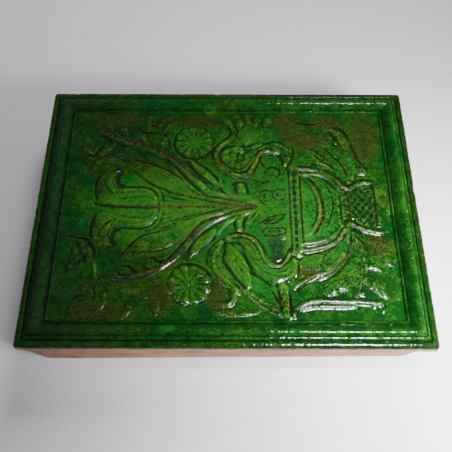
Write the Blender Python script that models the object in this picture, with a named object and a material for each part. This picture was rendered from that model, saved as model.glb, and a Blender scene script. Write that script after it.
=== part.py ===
"""Moulded stove tile: one fired piece with a framed relief face and a collar behind."""
import math

import bmesh
import bpy
import numpy as np

# Driving sizes in metres
tile_length = 0.300
tile_width = 0.230
corner_radius = 0.003
ground_thickness = 0.0055
frame_width = 0.0215
frame_height = 0.0045
relief_scale = 0.70
collar_depth = 0.036
collar_wall = 0.008
joint_inset = 0.0015
joint_corner = 0.005
rim_inset = 0.0072
rim_corner = 0.012
luting_width = 0.004

# The pattern is drawn in millimetres on a panel of this size and stretched to the real panel
pattern_length = 257.0
pattern_width = 187.0
grid_step = 1.0
face_triangles = 8600

# Frame section: share of the frame width from the outer edge, share of the frame height
frame_section = (
    (0.000, -0.200),
    (0.016, 0.150),
    (0.070, 0.360),
    (0.210, 0.420),
    (0.265, 0.250),
    (0.345, 0.620),
    (0.405, 0.560),
    (0.490, 0.930),
    (0.550, 1.000),
    (0.620, 0.920),
    (0.770, 0.450),
    (0.895, 0.050),
    (0.950, 0.270),
    (1.000, -0.060),
)

panel_length = tile_length - 2.0 * frame_width
panel_width = tile_width - 2.0 * frame_width
plate_back = collar_depth
ground_level = collar_depth + ground_thickness


def smooth_path(points, per_span=8):
    """Catmull-Rom curve through the points."""
    pts = [np.array(p, float) for p in points]
    pts = [2.0 * pts[0] - pts[1]] + pts + [2.0 * pts[-1] - pts[-2]]
    out = []
    for a, b, c, d in zip(pts, pts[1:], pts[2:], pts[3:]):
        for k in range(per_span):
            t = k / per_span
            bend = (2.0 * a - 5.0 * b + 4.0 * c - d) * t * t
            twist = (3.0 * b - a - 3.0 * c + d) * t ** 3
            out.append(0.5 * (2.0 * b + (c - a) * t + bend + twist))
    out.append(pts[-2])
    return np.array(out)


def between(curve_a, curve_b, share):
    """Curve lying a share of the way from one curve to another."""
    return [(a[0] + (b[0] - a[0]) * share, a[1] + (b[1] - a[1]) * share) for a, b in zip(curve_a, curve_b)]


def arc(cx, cy, radius, start, stop, count=7):
    """Points along a circular arc, angles in degrees."""
    out = []
    for k in range(count):
        angle = math.radians(start + (stop - start) * k / (count - 1))
        out.append((cx + radius * math.cos(angle), cy + radius * math.sin(angle)))
    return out


def section(u, kind):
    """Height share across a stroke; u is 0 along its middle and 1 at its edge."""
    inside = np.clip(1.0 - u * u, 0.0, 1.0)
    if kind == "round":
        return inside ** 0.6
    if kind == "keel":
        return np.clip(1.0 - u, 0.0, 1.0) ** 0.85
    if kind == "vein":
        return np.clip(inside ** 0.5 - 0.40 * np.exp(-(u / 0.22) ** 2), 0.0, 1.0)
    if kind == "dish":
        wall = np.clip(np.minimum(1.0, (1.0 - u) * 5.0), 0.0, 1.0)
        return wall * (0.45 + 0.55 * u * u)
    if kind == "flat":
        return np.clip((1.0 - u) * 4.0, 0.0, 1.0) ** 0.7
    return inside


class Relief:
    """Heights of the carving over a grid, all in pattern millimetres."""

    def __init__(self):
        nx = int(round(pattern_length / grid_step))
        ny = int(round(pattern_width / grid_step))
        self.xs = np.linspace(-0.5 * pattern_length, 0.5 * pattern_length, nx + 1)
        self.ys = np.linspace(-0.5 * pattern_width, 0.5 * pattern_width, ny + 1)
        self.gx, self.gy = np.meshgrid(self.xs, self.ys, indexing="ij")
        self.z = np.zeros_like(self.gx)

    def near(self, points, reach):
        """Part of the grid round a path, with the distance from it and the share along it."""
        path = smooth_path(points)
        low = path.min(axis=0) - reach
        high = path.max(axis=0) + reach
        i0, i1 = np.searchsorted(self.xs, (low[0], high[0]))
        j0, j1 = np.searchsorted(self.ys, (low[1], high[1]))
        part = (slice(i0, i1), slice(j0, j1))
        gx = self.gx[part]
        gy = self.gy[part]
        best = np.full(gx.shape, 1.0e9)
        share = np.zeros(gx.shape)
        lengths = np.hypot(*(path[1:] - path[:-1]).T)
        total = lengths.sum()
        run = 0.0
        for a, b, length in zip(path[:-1], path[1:], lengths):
            if length < 1.0e-9:
                continue
            dx, dy = (b - a) / length
            along = np.clip((gx - a[0]) * dx + (gy - a[1]) * dy, 0.0, length)
            dist = np.hypot(gx - a[0] - along * dx, gy - a[1] - along * dy)
            closer = dist < best
            best = np.where(closer, dist, best)
            share = np.where(closer, (run + along) / total, share)
            run += length
        return part, best, share

    def lay(self, points, widths, height, kind="round", trench=0.6):
        """Lay a leaf or band over what is there, with a shallow cut line round it."""
        part, dist, share = self.near(points, max(widths) + 3.0)
        width = np.interp(share, np.linspace(0.0, 1.0, len(widths)), widths)
        u = dist / np.maximum(width, 0.05)
        cut = trench * np.exp(-((dist - width - 0.7) / 0.9) ** 2) * (u > 0.6)
        old = self.z[part] - cut
        new = height * section(u, kind)
        raised = new if kind == "dish" else np.maximum(old, new)
        self.z[part] = np.where(u < 1.0, raised, old)

    def add(self, points, widths, height):
        """Raise a soft ridge on the surface, or cut a groove where the height is negative."""
        part, dist, share = self.near(points, max(widths) + 1.0)
        width = np.interp(share, np.linspace(0.0, 1.0, len(widths)), widths)
        self.z[part] += height * section(dist / np.maximum(width, 0.05), "soft")

    def dome(self, cx, cy, rx, ry, height, turn=0.0, power=0.6, trench=0.4):
        """Lay an oval boss."""
        c = math.cos(math.radians(turn))
        s = math.sin(math.radians(turn))
        px = (self.gx - cx) * c + (self.gy - cy) * s
        py = (self.gy - cy) * c - (self.gx - cx) * s
        u = np.hypot(px / rx, py / ry)
        edge = (u - 1.0) * min(rx, ry)
        self.z -= trench * np.exp(-((edge - 0.7) / 0.9) ** 2)
        shape = height * np.clip(1.0 - u * u, 0.0, 1.0) ** power
        self.z = np.where(u < 1.0, np.maximum(self.z, shape), self.z)

    def rosette(self, cx, cy, radius, petals, height, phase):
        """Lay a round flower of narrow petals with a small eye."""
        dx = self.gx - cx
        dy = self.gy - cy
        r = np.hypot(dx, dy) / radius
        wave = np.abs(np.cos((np.arctan2(dy, dx) - phase) * petals / 2.0))
        edge = 0.86 + 0.14 * wave
        body = np.clip((edge - r) / 0.16, 0.0, 1.0) ** 0.7
        petal = (0.35 + 0.65 * wave ** 0.7) * (0.50 + 0.50 * np.clip(r * 1.5, 0.0, 1.0))
        self.z -= 0.7 * np.exp(-((r * radius - radius - 0.6) / 1.0) ** 2)
        self.z = np.where(r < edge, height * body * petal, self.z)
        self.dome(cx, cy, radius * 0.16, radius * 0.16, height * 0.8, trench=0.2)

    def soften(self, rounds):
        """Average neighbouring heights, as a pressed clay surface does."""
        for _ in range(rounds):
            p = np.pad(self.z, 1, mode="edge")
            across = 0.25 * p[:-2, :] + 0.5 * p[1:-1, :] + 0.25 * p[2:, :]
            self.z = 0.25 * across[:, :-2] + 0.5 * across[:, 1:-1] + 0.25 * across[:, 2:]


def carve_fan(r):
    """Two long leaves spreading from the focal point between the two main stems, with shallow veins."""
    upper_top = [(25, 3), (0, 10), (-20, 19), (-40, 35), (-58, 46), (-80, 49)]
    upper_low = [(25, 2), (0, 5), (-25, 9), (-48, 16), (-63, 26), (-79, 39)]
    lower_top = [(25, 1), (0, -3), (-20, -8), (-45, -18), (-66, -25), (-82, -40)]
    lower_low = [(25, 0), (5, -5), (-13, -13), (-30, -26), (-50, -36), (-72, -40)]
    heart_up = [(25, 2), (0, 4), (-25, 6), (-50, 10)]
    heart_down = [(25, 1), (0, -2), (-25, -7), (-54, -14)]
    r.lay(between(heart_up, heart_down, 0.5), (1.5, 4.5, 8.0, 12.0), 1.8, "flat", 0.4)
    for first, last in ((upper_low, upper_top), (lower_top, lower_low)):
        r.lay(between(first, last, 0.5), (1.5, 4.5, 8.5, 12.5, 12.5, 5.0), 2.6, "flat", 0.8)
        for k in range(5):
            r.add(between(first, last, k / 4.0), (1.0, 1.4, 1.8, 2.0, 1.2), 0.7)
    for k in range(4):
        r.add(between(heart_up, heart_down, k / 3.0), (1.0, 1.5, 2.0), 0.6)


def carve_stems(r):
    """The two main stems that frame the fan."""
    upper = [(25, 4), (5, 12), (-15, 22), (-30, 34), (-45, 46), (-60, 55), (-80, 62), (-100, 69), (-118, 82)]
    lower = [(25, 0), (5, -5.5), (-10, -12), (-22, -23), (-32, -35), (-42, -46), (-56, -54), (-76, -59), (-98, -62),
             (-114, -74)]
    r.lay(upper, (1.2, 2.4, 2.8, 3.0, 3.0, 3.4, 4.2, 4.4, 2.0), 4.2, "vein", 0.9)
    r.lay(lower, (1.2, 2.6, 2.6, 2.4, 2.4, 2.6, 3.0, 3.4, 3.0, 1.5), 4.2, "vein", 0.9)


def carve_lily(r):
    """Open flower on the axis: two broad petals that roll back at their tips, and a palmette."""
    for k in range(7):
        angle = math.radians(180 + (k - 3) * 12)
        start = (-104 + 3 * math.cos(angle), 1 + 7 * math.sin(angle))
        stop = (-104 + 19 * math.cos(angle), 1 + 27 * math.sin(angle))
        r.lay([start, stop], (1.0, 2.2, 1.0), 2.4, "keel", 0.4)
    r.lay([(-57, 1.5), (-64, 1.5), (-73, 1.5), (-82, 1.5), (-90, 1.5)], (4.0, 13.5, 17.2, 17.3, 2.0), 3.8, "flat", 0.9)
    for s in (1, -1):
        def half(*points):
            """Points measured from the axis of the flower, on this half."""
            return [(x, 1.5 + s * y) for x, y in points]
        r.lay(half((-76, 9), (-84, 9), (-90, 9), (-97, 12)), (8.6, 8.6, 8.4, 8.4), 3.8, "flat", 0.9)
        r.dome(-98, 1.5 + 22.5 * s, 9.0, 11.5, 4.6, -12.0 * s, 0.32, 0.9)
        r.lay(half((-104, 28), (-97, 33), (-87, 34)), (3.0, 3.2, 1.2), 4.4, "round", 0.8)
        r.add(half((-86, 34), (-89.5, 28), (-88.5, 22), (-84, 19.5)), (1.2, 2.6, 2.2, 1.0), -3.0)
        r.add(half((-101, 29), (-99, 21), (-95, 14.5), (-88, 11.5)), (1.2, 1.6, 1.2), -1.3)
        r.add(half((-55, 1), (-56.5, 9), (-62, 14.8), (-76, 16.6), (-85, 17.2)), (1.4, 1.8, 1.4), 1.1)
        r.add(half((-60, 5.5), (-70, 9), (-82, 8.4), (-94, 6)), (1.2, 1.6, 1.2), -1.0)
    r.add([(25, 1.5), (-40, 1.5), (-98, 1.5)], (1.0, 1.3, 1.3), -1.6)


def carve_focal_leaves(r):
    """Small leaves round the point where everything meets."""
    r.lay([(20, 6), (5, 11), (-3, 20), (-6, 27)], (1.0, 2.0, 2.4, 1.4), 3.2)
    r.lay([(22, 5), (15, 9), (11, 15), (10, 25)], (1.2, 3.2, 4.4, 1.8), 3.6, "dish")
    r.lay([(26, 5), (20, 11), (17, 17), (16, 24)], (1.2, 2.2, 2.2, 1.0), 3.0)
    r.lay([(-6, 21), (-16, 30), (-25, 39), (-33, 47)], (1.4, 3.2, 3.6, 1.2), 3.0, "vein")
    r.lay([(22, -2), (12, -5), (8, -12), (10, -18)], (1.2, 2.0, 3.0, 2.0), 3.6)
    r.lay([(26, -2), (19, -8), (16, -14), (15, -19)], (1.2, 2.2, 2.2, 1.0), 3.0)
    r.lay([(10, -7), (0, -12), (-5, -17), (-8, -24)], (1.0, 1.8, 2.0, 1.0), 2.8)
    r.lay([(-9, -19), (-16, -26), (-23, -34), (-29, -42)], (1.6, 3.4, 4.0, 1.2), 3.2, "dish")


def carve_rosettes(r):
    """Two round flowers in the bends of the stems."""
    r.add(arc(-28, 64, 19, 150, 300), (1.0, 1.8, 1.0), 1.6)
    r.add(arc(-28, -65, 19, 20, 160), (1.0, 1.8, 1.0), 1.6)
    r.rosette(-28, 64, 16.5, 12, 4.2, 0.1)
    r.rosette(-28, -65, 16.5, 12, 4.2, 0.3)


def carve_near_scroll(r):
    """Leaf scroll between the near stem and the vase."""
    tail = [(-4, -30), (-9, -37), (-11, -46), (-9, -55), (-4, -61), (3, -67), (5, -74), (1, -80), (-6, -79)]
    r.lay(tail, (1.4, 2.2, 2.4, 2.4, 2.4, 2.6, 2.6, 2.4, 1.4), 4.0)
    first = [(-3, -31), (-7, -44), (6, -66)]
    last = [(3, -31), (11, -50), (21, -60)]
    for k in range(4):
        r.lay(between(first, last, k / 3.0), (1.4, 2.5, 1.4), 3.4)
    outer = [(0, -31), (10, -36), (16, -47), (22, -58), (34, -67), (46, -65), (53, -55)]
    inner = [(0, -25), (14, -24), (22, -31), (27, -43), (37, -50), (46, -46), (50, -36)]
    for k in range(4):
        r.lay(between(outer, inner, k / 4.0), (1.6, 2.6, 2.8, 2.6, 2.0), 3.0 + 0.2 * k)
    r.lay(inner, (1.5, 2.4, 2.6, 2.6, 2.4, 1.6), 4.8, "vein", 0.9)
    r.lay([(50, -36), (54, -46), (54, -56), (48, -64)], (1.2, 1.8, 1.8, 1.0), 3.4)
    r.lay([(42, -67), (43, -78), (44, -92)], (3.6, 3.2, 2.4), 3.4, "vein")
    r.lay([(19, -72), (28, -78), (40, -90)], (2.4, 3.2, 1.2), 2.8, "vein")
    r.lay([(28, -70), (35, -77), (41, -86)], (1.5, 2.0, 1.0), 2.6)
    r.lay([(-5, -84), (2, -88), (12, -89), (24, -87)], (1.0, 2.0, 2.0, 1.0), 2.0)


def carve_far_scroll(r):
    """Leaf scroll between the far stem and the vase, with a fan leaf behind it."""
    for tip in ((-1, 89), (8, 91), (17, 92), (26, 89), (35, 89), (40, 80)):
        middle = (0.5 * (18 + tip[0]) + 1, 0.5 * (62 + tip[1]))
        r.lay([(16, 62), middle, tip], (1.4, 3.4, 3.4), 3.2, "vein")
    outer = [(3, 80), (7, 73), (2, 66), (-6, 60), (-10, 51), (-8, 41), (0, 33), (10, 29), (19, 32), (24, 41),
             (29, 53)]
    inner = [(14, 62), (8, 60), (3, 57), (0, 53), (-1, 48), (1, 43), (5, 40), (10, 38), (15, 40), (18, 45),
             (22, 52)]
    for k in range(3):
        r.lay(between(inner, outer, 0.1 + 0.27 * k), (1.2, 2.2, 2.6, 2.6, 1.8), 2.8 + 0.2 * k)
    for cx, cy, rx, ry, turn in ((9, 51, 4, 6, 20), (2, 44, 4.5, 3, -30), (9, 41, 5, 2.6, 10), (16, 45, 3, 5, -30)):
        r.dome(cx, cy, rx, ry, 3.6, turn)
    r.lay(outer, (1.6, 2.4, 2.6, 2.6, 2.8, 2.8, 2.6, 2.4), 4.8, "vein", 0.9)
    r.dome(4, 76, 4, 5, 4.2, 20)
    arch_out = [(28, 57), (34, 66), (44, 67), (52, 60), (54, 50), (49, 40)]
    arch_in = [(26, 44), (31, 52), (37, 52), (43, 50), (47, 45), (48, 40)]
    for k in range(3):
        r.lay(between(arch_in, arch_out, (k + 1) / 3.0), (1.4, 2.6, 2.8, 2.6, 1.4), 3.2)
    r.lay([(20, 32), (25, 41), (29, 50), (34, 54), (41, 52), (46, 46), (48, 40)], (1.5, 2.3, 2.6, 2.3, 1.4), 4.4)


def carve_vase(r):
    """The vase: belly with swag, rope collar, neck and latticed foot."""
    r.lay([(50, 1), (62, 1), (74, 1), (84, 1.5), (93, 2)], (36, 35, 33, 25, 16), 2.6, "flat")
    for s in (1, -1):
        rim = [(50, 1 + 37 * s), (60, 1 + 36.5 * s), (70, 1 + 35 * s), (79, 1 + 31 * s), (86, 1 + 25 * s),
               (91, 1 + 18.5 * s), (94, 1 + 16 * s)]
        bead = [(56, 1 + 31.5 * s), (65, 1 + 31 * s), (74, 1 + 29 * s), (82, 1 + 24 * s), (88, 1 + 15 * s)]
        r.lay(rim, (1.9, 2.0, 2.0, 1.8), 4.8, "round", 0.8)
        r.lay(bead, (1.5, 1.6, 1.5), 4.0, "round", 0.8)
        foot = [(93, 2.5 + 16.5 * s), (99, 2 + 17 * s), (107, 2 + 22 * s), (121, 2 + 24.5 * s)]
        r.lay(foot, (1.8, 2.2, 2.2, 2.0), 4.2, "round", 0.8)
    r.lay([(97, 3), (108, 3), (116, 3)], (15, 18, 20), 2.8, "flat", 0.4)
    r.lay([(59, -24), (68, -19), (73.5, -9), (75.5, 1), (74, 12), (70, 21), (62, 29)], (1.5, 1.9, 1.9, 1.5), 4.4)
    for x, y in ((83, 12), (84, 6), (80, -18)):
        r.dome(x, y, 2.0, 2.0, 4.0)
    r.lay([(54.6, -38), (54.6, 38)], (4.8, 4.8), 2.4, "flat")
    for x in (51.2, 58.2):
        r.lay([(x, -38), (x, 38)], (1.4, 1.4), 4.4, "round", 0.2)
    for k in range(10):
        r.add([(53.0, -36 + 8 * k), (56.4, -36 + 8 * k)], (1.8, 1.8), -1.4)
    for x in (90.0, 93.6):
        r.lay([(x, -16), (x + 0.6, 1), (x, 20)], (1.3, 1.4, 1.3), 4.6)


def carve_lattice(r):
    """Lozenge pits in the foot of the vase."""
    pitch = 6.2
    inside = (r.gx > 96) & (r.gx < 117) & (np.abs(r.gy - 3) < 15)
    a = ((r.gx + r.gy) / pitch) % 1.0
    b = ((r.gx - r.gy) / pitch) % 1.0
    pit = np.clip(1.0 - 1.2 * np.hypot(2.0 * a - 1.0, 2.0 * b - 1.0), 0.0, 1.0) ** 0.6
    r.z = np.where(inside, r.z - 1.8 * pit, r.z)


def carve_handles(r):
    """Leaves that spring from the neck of the vase to both long sides and the corners."""
    low_in = [(54, -41), (64, -40), (74, -38), (83, -33), (90, -26), (94, -18)]
    low_out = [(50, -68), (62, -63), (73, -58.5), (84, -51.5), (91, -43), (95, -30)]
    r.lay(between(low_in, low_out, 0.5), (4, 11, 11.5, 9, 6, 3), 2.4, "flat", 0.3)
    r.lay([(66, -56), (70, -48), (75, -41), (83, -33.5), (90, -26)], (1.2, 1.7, 1.7, 1.4), 3.8)
    r.lay([(96, -15), (95.5, -26), (92, -40), (85, -50), (75, -57), (62, -62), (50, -68)],
          (1.8, 2.4, 2.8, 2.8, 2.6, 2.2, 1.4), 4.6, "round", 0.9)
    r.lay([(98, -22), (101, -33), (101, -45), (96, -56), (86, -64), (76, -71)], (2, 5, 7.5, 8, 7, 4), 2.8, "flat")
    r.lay([(100, -27), (104, -38), (104, -52), (99, -64), (96, -75)], (1.2, 2.0, 2.2, 2.2, 1.2), 3.8)
    r.lay([(105, -60), (112, -66), (118, -74)], (3, 5, 2), 3.0, "vein")
    r.lay([(106, -50), (112, -51), (118, -56)], (1.6, 3.0, 1.2), 3.4)
    r.lay([(113, -28), (119, -36), (124, -48)], (2.4, 4.4, 2.0), 2.6, "vein")
    r.lay([(49, -89), (52, -84), (60, -79.5), (70, -77.5), (85, -78.5), (102, -77), (114, -80)],
          (1.5, 1.9, 2.1, 2.1, 1.9, 1.7, 1.0), 4.2, "round", 0.8)
    r.lay([(55, -86.5), (62, -83), (74, -82), (90, -83), (102, -83)], (0.9, 1.3, 1.3, 1.3, 0.8), 2.8)
    for x, y, radius in ((79, -69.5, 3.4), (101, -71, 2.6), (62, -51.5, 2.6)):
        r.dome(x, y, radius, radius * 0.8, 3.9)
    high_in = [(54, 44), (65, 45), (75, 43), (84, 38), (91, 31), (97, 22)]
    high_out = [(52, 76), (62, 73), (74, 68), (85, 60), (93, 49), (98, 34)]
    r.lay(between(high_in, high_out, 0.5), (8, 14, 14, 11, 8, 3.5), 2.4, "flat", 0.3)
    r.lay([(98, 22), (98, 34), (94, 48), (85, 60), (74, 67), (62, 71), (52, 78)],
          (1.8, 2.6, 2.8, 2.8, 2.8, 2.4, 1.4), 4.6, "round", 0.9)
    r.lay([(66, 56), (72, 50), (77, 44), (86, 38)], (1.2, 1.7, 1.7, 1.0), 3.8)
    r.lay([(57, 60), (70, 58), (82, 50), (91, 38)], (1.2, 2.0, 2.2, 1.2), 3.4)
    r.lay([(100, 24), (103, 36), (101, 50), (96, 66), (90, 78), (80, 82)], (1.6, 4.2, 4.6, 4.6, 4.2, 3.0), 3.2,
          "flat", 0.8)
    r.lay([(111, 36), (106.5, 48), (103, 62), (97, 76), (90, 83), (78, 83.5), (66, 83), (56, 87), (51, 92)],
          (1.2, 2.0, 2.4, 2.4, 2.2, 2.0, 2.0, 2.0, 1.2), 4.4, "round", 0.9)
    r.lay([(112, 36), (105, 33.5), (110, 31.5), (114, 33)], (1.3, 1.5, 1.3), 3.8)
    r.lay([(112, 40), (118, 52), (120, 66), (116, 80)], (2.0, 5.0, 5.4, 2.5), 2.6, "vein")
    r.dome(81, 71, 3.2, 3.4, 3.8)


def carve_vase_mouth(r):
    """Small forms between the mouth of the vase and the focal point."""
    r.lay([(26, 1), (38, 1), (49, 1)], (9, 15, 15), 1.8, "flat", 0.4)
    r.add([(27, 1.2), (51, 1.2)], (1.2, 1.2), -1.2)
    r.lay([(46, 18), (38, 16), (31, 14), (28, 10), (32, 8)], (1.3, 1.8, 2.0, 1.8, 1.2), 3.6)
    r.lay([(48, 14), (43, 15), (39, 13), (41, 10)], (1.2, 1.7, 1.8, 1.2), 3.6)
    r.lay([(47, -5), (41, -9), (34, -12.5), (29, -12), (30, -9)], (1.3, 1.8, 2.0, 1.8, 1.0), 3.6)
    r.lay([(30, -24), (28, -20.5), (33, -18), (42, -18), (43, -21), (37, -24), (30, -24)], (1.6, 1.6), 3.2)
    for cx, cy, rx, ry, turn in ((37.5, -37, 9, 11, 0), (34, 22, 7.5, 3.4, -8), (37, 34, 7, 6, 0)):
        r.dome(cx, cy, rx, ry, 2.6, turn, 0.4)


def carve_sprigs(r):
    """Sprigs, berries and small leaves in the corners and beyond the stems."""
    r.lay([(-95, 64), (-99, 56), (-103, 47), (-109, 39)], (2.0, 2.0, 1.8, 1.2), 3.4)
    r.lay([(-99, -60), (-101, -48), (-105, -38), (-113, -30), (-123, -26)], (1.4, 1.8, 1.8, 1.6, 1.2), 3.4)
    leaves = (
        (-101, 60, -112, 46, 3.6), (-107, 45, -118, 31, 3.2), (-112, 47, -124, 50, 2.6), (-112, 52, -124, 64, 2.4),
        (-113, 62, -123, 76, 2.4), (-97, 47, -80, 48, 3.0), (-102, 45, -85, 41, 3.2), (-112, -31, -106, -47, 4.0),
        (-117, -34, -120, -51, 4.4), (-78, -70, -60, -75, 2.8), (-90, -72, -99, -88, 2.8), (-72, -77, -76, -91, 3.0),
        (-58, -70, -52, -89, 2.8), (-54, -62, -42, -80, 2.4), (-67, 78, -66, 91, 3.0), (-60, 78, -46, 90, 3.4),
        (-54, 74, -43, 86, 2.4), (-90, 68, -103, 84, 3.2), (-84, 68, -88, 88, 3.2), (-62, 58, -72, 72, 2.6),
        (-55, 56, -49, 72, 2.6),
    )
    for x0, y0, x1, y1, width in leaves:
        bow = 0.12
        middle = (0.5 * (x0 + x1) - bow * (y1 - y0), 0.5 * (y0 + y1) + bow * (x1 - x0))
        r.lay([(x0, y0), middle, (x1, y1)], (1.4, width, 1.2), 2.8, "vein")
    r.lay([(-76, 70), (-72, 79), (-66, 76), (-57, 74), (-52, 78)], (1.2, 2.2, 2.4, 2.2, 1.2), 3.4)
    r.lay([(-63, -42), (-57, -43.5), (-52, -47), (-46, -46), (-40, -41)], (1.0, 1.7, 1.9, 1.7, 1.0), 3.2)
    r.lay([(-93, -42), (-84, -50), (-76, -51), (-71, -54), (-64, -56)], (1.0, 1.8, 2.0, 1.8, 1.0), 3.2)
    r.lay([(-100, -66), (-98, -74), (-101, -83)], (1.6, 2.0, 1.2), 3.0)
    r.lay(arc(-108, -82, 7, 60, 150), (1.2, 1.8, 1.0), 3.0)
    berries = ((-107, 67), (-84.5, 57.5), (-72.5, 47.5), (-107.7, -57.5), (-100, -64), (-108.3, -67.5),
               (-120.5, -82), (-115, -85), (-91, -73.5), (-111, -49), (-60, -49.5))
    for x, y in berries:
        r.dome(x, y, 2.5, 2.5, 3.4)


def carved_panel():
    """Heights of the whole carved field in metres, over its grid."""
    r = Relief()
    for carve in (carve_vase_mouth, carve_sprigs, carve_fan, carve_lily, carve_stems, carve_focal_leaves,
                  carve_rosettes, carve_handles, carve_vase, carve_lattice, carve_near_scroll, carve_far_scroll):
        carve(r)
    r.soften(2)
    border = np.minimum(0.5 * pattern_length - np.abs(r.gx), 0.5 * pattern_width - np.abs(r.gy))
    r.z = np.clip(r.z, -1.4, None) * np.clip(border / 2.0, 0.0, 1.0)
    r.z = r.z * 0.001 * relief_scale + frame_section[-1][1] * frame_height * np.clip(1.0 - border, 0.0, 1.0)
    return r


def rounded(x, y, inset):
    """Point of a plain rectangle ring moved on to the rounded corner of the tile."""
    radius = corner_radius - inset
    if radius <= 0.0:
        return x, y
    cx = 0.5 * tile_length - corner_radius
    cy = 0.5 * tile_width - corner_radius
    ox = abs(x) - cx
    oy = abs(y) - cy
    if ox <= 0.0 or oy <= 0.0:
        return x, y
    far = max(ox, oy)
    scale = radius * (1.0 if far < 1.0e-9 else far / radius) / max(math.hypot(ox, oy), 1.0e-9)
    return math.copysign(cx + ox * scale, x), math.copysign(cy + oy * scale, y)


def build_plate():
    """Plate with carved front and moulded frame as one closed mesh."""
    r = carved_panel()
    nx = len(r.xs)
    ny = len(r.ys)
    fx = r.xs * panel_length / pattern_length
    fy = r.ys * panel_width / pattern_width
    bm = bmesh.new()
    grid = [[bm.verts.new((fx[i], fy[j], ground_level + r.z[i, j])) for j in range(ny)] for i in range(nx)]
    for i in range(nx - 1):
        for j in range(ny - 1):
            bm.faces.new((grid[i][j], grid[i + 1][j], grid[i + 1][j + 1], grid[i][j + 1]))
    border = [grid[i][0] for i in range(nx - 1)]
    border += [grid[nx - 1][j] for j in range(ny - 1)]
    border += [grid[i][ny - 1] for i in range(nx - 1, 0, -1)]
    border += [grid[0][j] for j in range(ny - 1, 0, -1)]

    def ring(inset, level):
        """Closed loop of the border pushed out to an inset from the tile edge."""
        sx = (0.5 * tile_length - inset) / (0.5 * panel_length)
        sy = (0.5 * tile_width - inset) / (0.5 * panel_width)
        out = []
        for v in border:
            x, y = rounded(v.co.x * sx, v.co.y * sy, inset)
            out.append(bm.verts.new((x, y, level)))
        return out

    loops = [border]
    for share, rise in reversed(frame_section[:-1]):
        loops.append(ring(share * frame_width, ground_level + rise * frame_height))
    loops.append(ring(0.0, plate_back + 0.001))
    loops.append(ring(0.001, plate_back))
    for inner, outer in zip(loops, loops[1:]):
        for k in range(len(inner)):
            n = (k + 1) % len(inner)
            bm.faces.new((inner[k], outer[k], outer[n], inner[n]))
    middle = bm.verts.new((0.0, 0.0, plate_back))
    for k in range(len(border)):
        bm.faces.new((middle, loops[-1][(k + 1) % len(border)], loops[-1][k]))
    bmesh.ops.recalc_face_normals(bm, faces=bm.faces)
    bmesh.ops.triangulate(bm, faces=bm.faces)
    count = len(bm.faces)
    mesh = bpy.data.meshes.new("stove_tile")
    bm.to_mesh(mesh)
    bm.free()
    tile = bpy.data.objects.new("stove_tile", mesh)
    bpy.context.scene.collection.objects.link(tile)
    thin = tile.modifiers.new("fewer triangles", "DECIMATE")
    thin.decimate_type = "COLLAPSE"
    thin.ratio = face_triangles / count
    return tile


def rounded_loop(bm, inset, level, radius):
    """Closed loop of a rounded rectangle, set in from the tile edge."""
    steps = 5
    hx = 0.5 * tile_length - inset
    hy = 0.5 * tile_width - inset
    loop = []
    for sx, sy, start in ((1, 1, 0), (-1, 1, 90), (-1, -1, 180), (1, -1, 270)):
        for k in range(steps + 1):
            angle = math.radians(start + 90.0 * k / steps)
            x = sx * (hx - radius) + radius * math.cos(angle)
            y = sy * (hy - radius) + radius * math.sin(angle)
            loop.append(bm.verts.new((x, y, level)))
    return loop


def build_collar():
    """Hollow collar luted to the back: it draws in towards its rounded rim and its joint is smeared inside."""
    sunk = plate_back + 0.003
    smear = collar_depth - 2.0 * luting_width
    sections = (
        (0.0015, 0.000), (0.000, 0.002), (0.000, collar_depth), (0.000, sunk),
        (collar_wall + luting_width, sunk), (collar_wall + luting_width, collar_depth),
        (collar_wall, smear), (collar_wall, 0.002), (collar_wall - 0.0015, 0.000),
    )
    bm = bmesh.new()
    loops = []
    for offset, level in sections:
        drawn = 1.0 - min(level / collar_depth, 1.0)
        inset = joint_inset + drawn * (rim_inset - joint_inset)
        corner = joint_corner + drawn * (rim_corner - joint_corner)
        loops.append(rounded_loop(bm, inset + offset, level, max(corner - offset, 0.002)))
    loops.append(loops[0])
    for lower, upper in zip(loops, loops[1:]):
        for k in range(len(lower)):
            n = (k + 1) % len(lower)
            bm.faces.new((lower[k], lower[n], upper[n], upper[k]))
    bmesh.ops.recalc_face_normals(bm, faces=bm.faces)
    mesh = bpy.data.meshes.new("collar cutter")
    bm.to_mesh(mesh)
    bm.free()
    collar = bpy.data.objects.new("collar_union", mesh)
    bpy.context.scene.collection.objects.link(collar)
    collar.hide_render = True
    collar.display_type = "WIRE"
    return collar


def glaze_material():
    """Copper green lead glaze over red earthenware."""
    material = bpy.data.materials.new("green_glaze")
    material.use_nodes = True
    shader = material.node_tree.nodes["Principled BSDF"]
    shader.inputs["Base Color"].default_value = (0.018, 0.085, 0.030, 1.0)
    shader.inputs["Metallic"].default_value = 0.0
    shader.inputs["Roughness"].default_value = 0.15
    return material


def main():
    """Build the tile in an empty scene."""
    for old in list(bpy.data.objects):
        bpy.data.objects.remove(old, do_unlink=True)
    tile = build_plate()
    collar = build_collar()
    join = tile.modifiers.new("collar", "BOOLEAN")
    join.operation = "UNION"
    join.solver = "EXACT"
    join.object = collar
    tile.data.materials.append(glaze_material())


main()
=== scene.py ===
"""Green-glazed relief stove tile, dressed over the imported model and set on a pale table."""
import sys
import logging
import math
from dataclasses import dataclass, field
from enum import Enum

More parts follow.
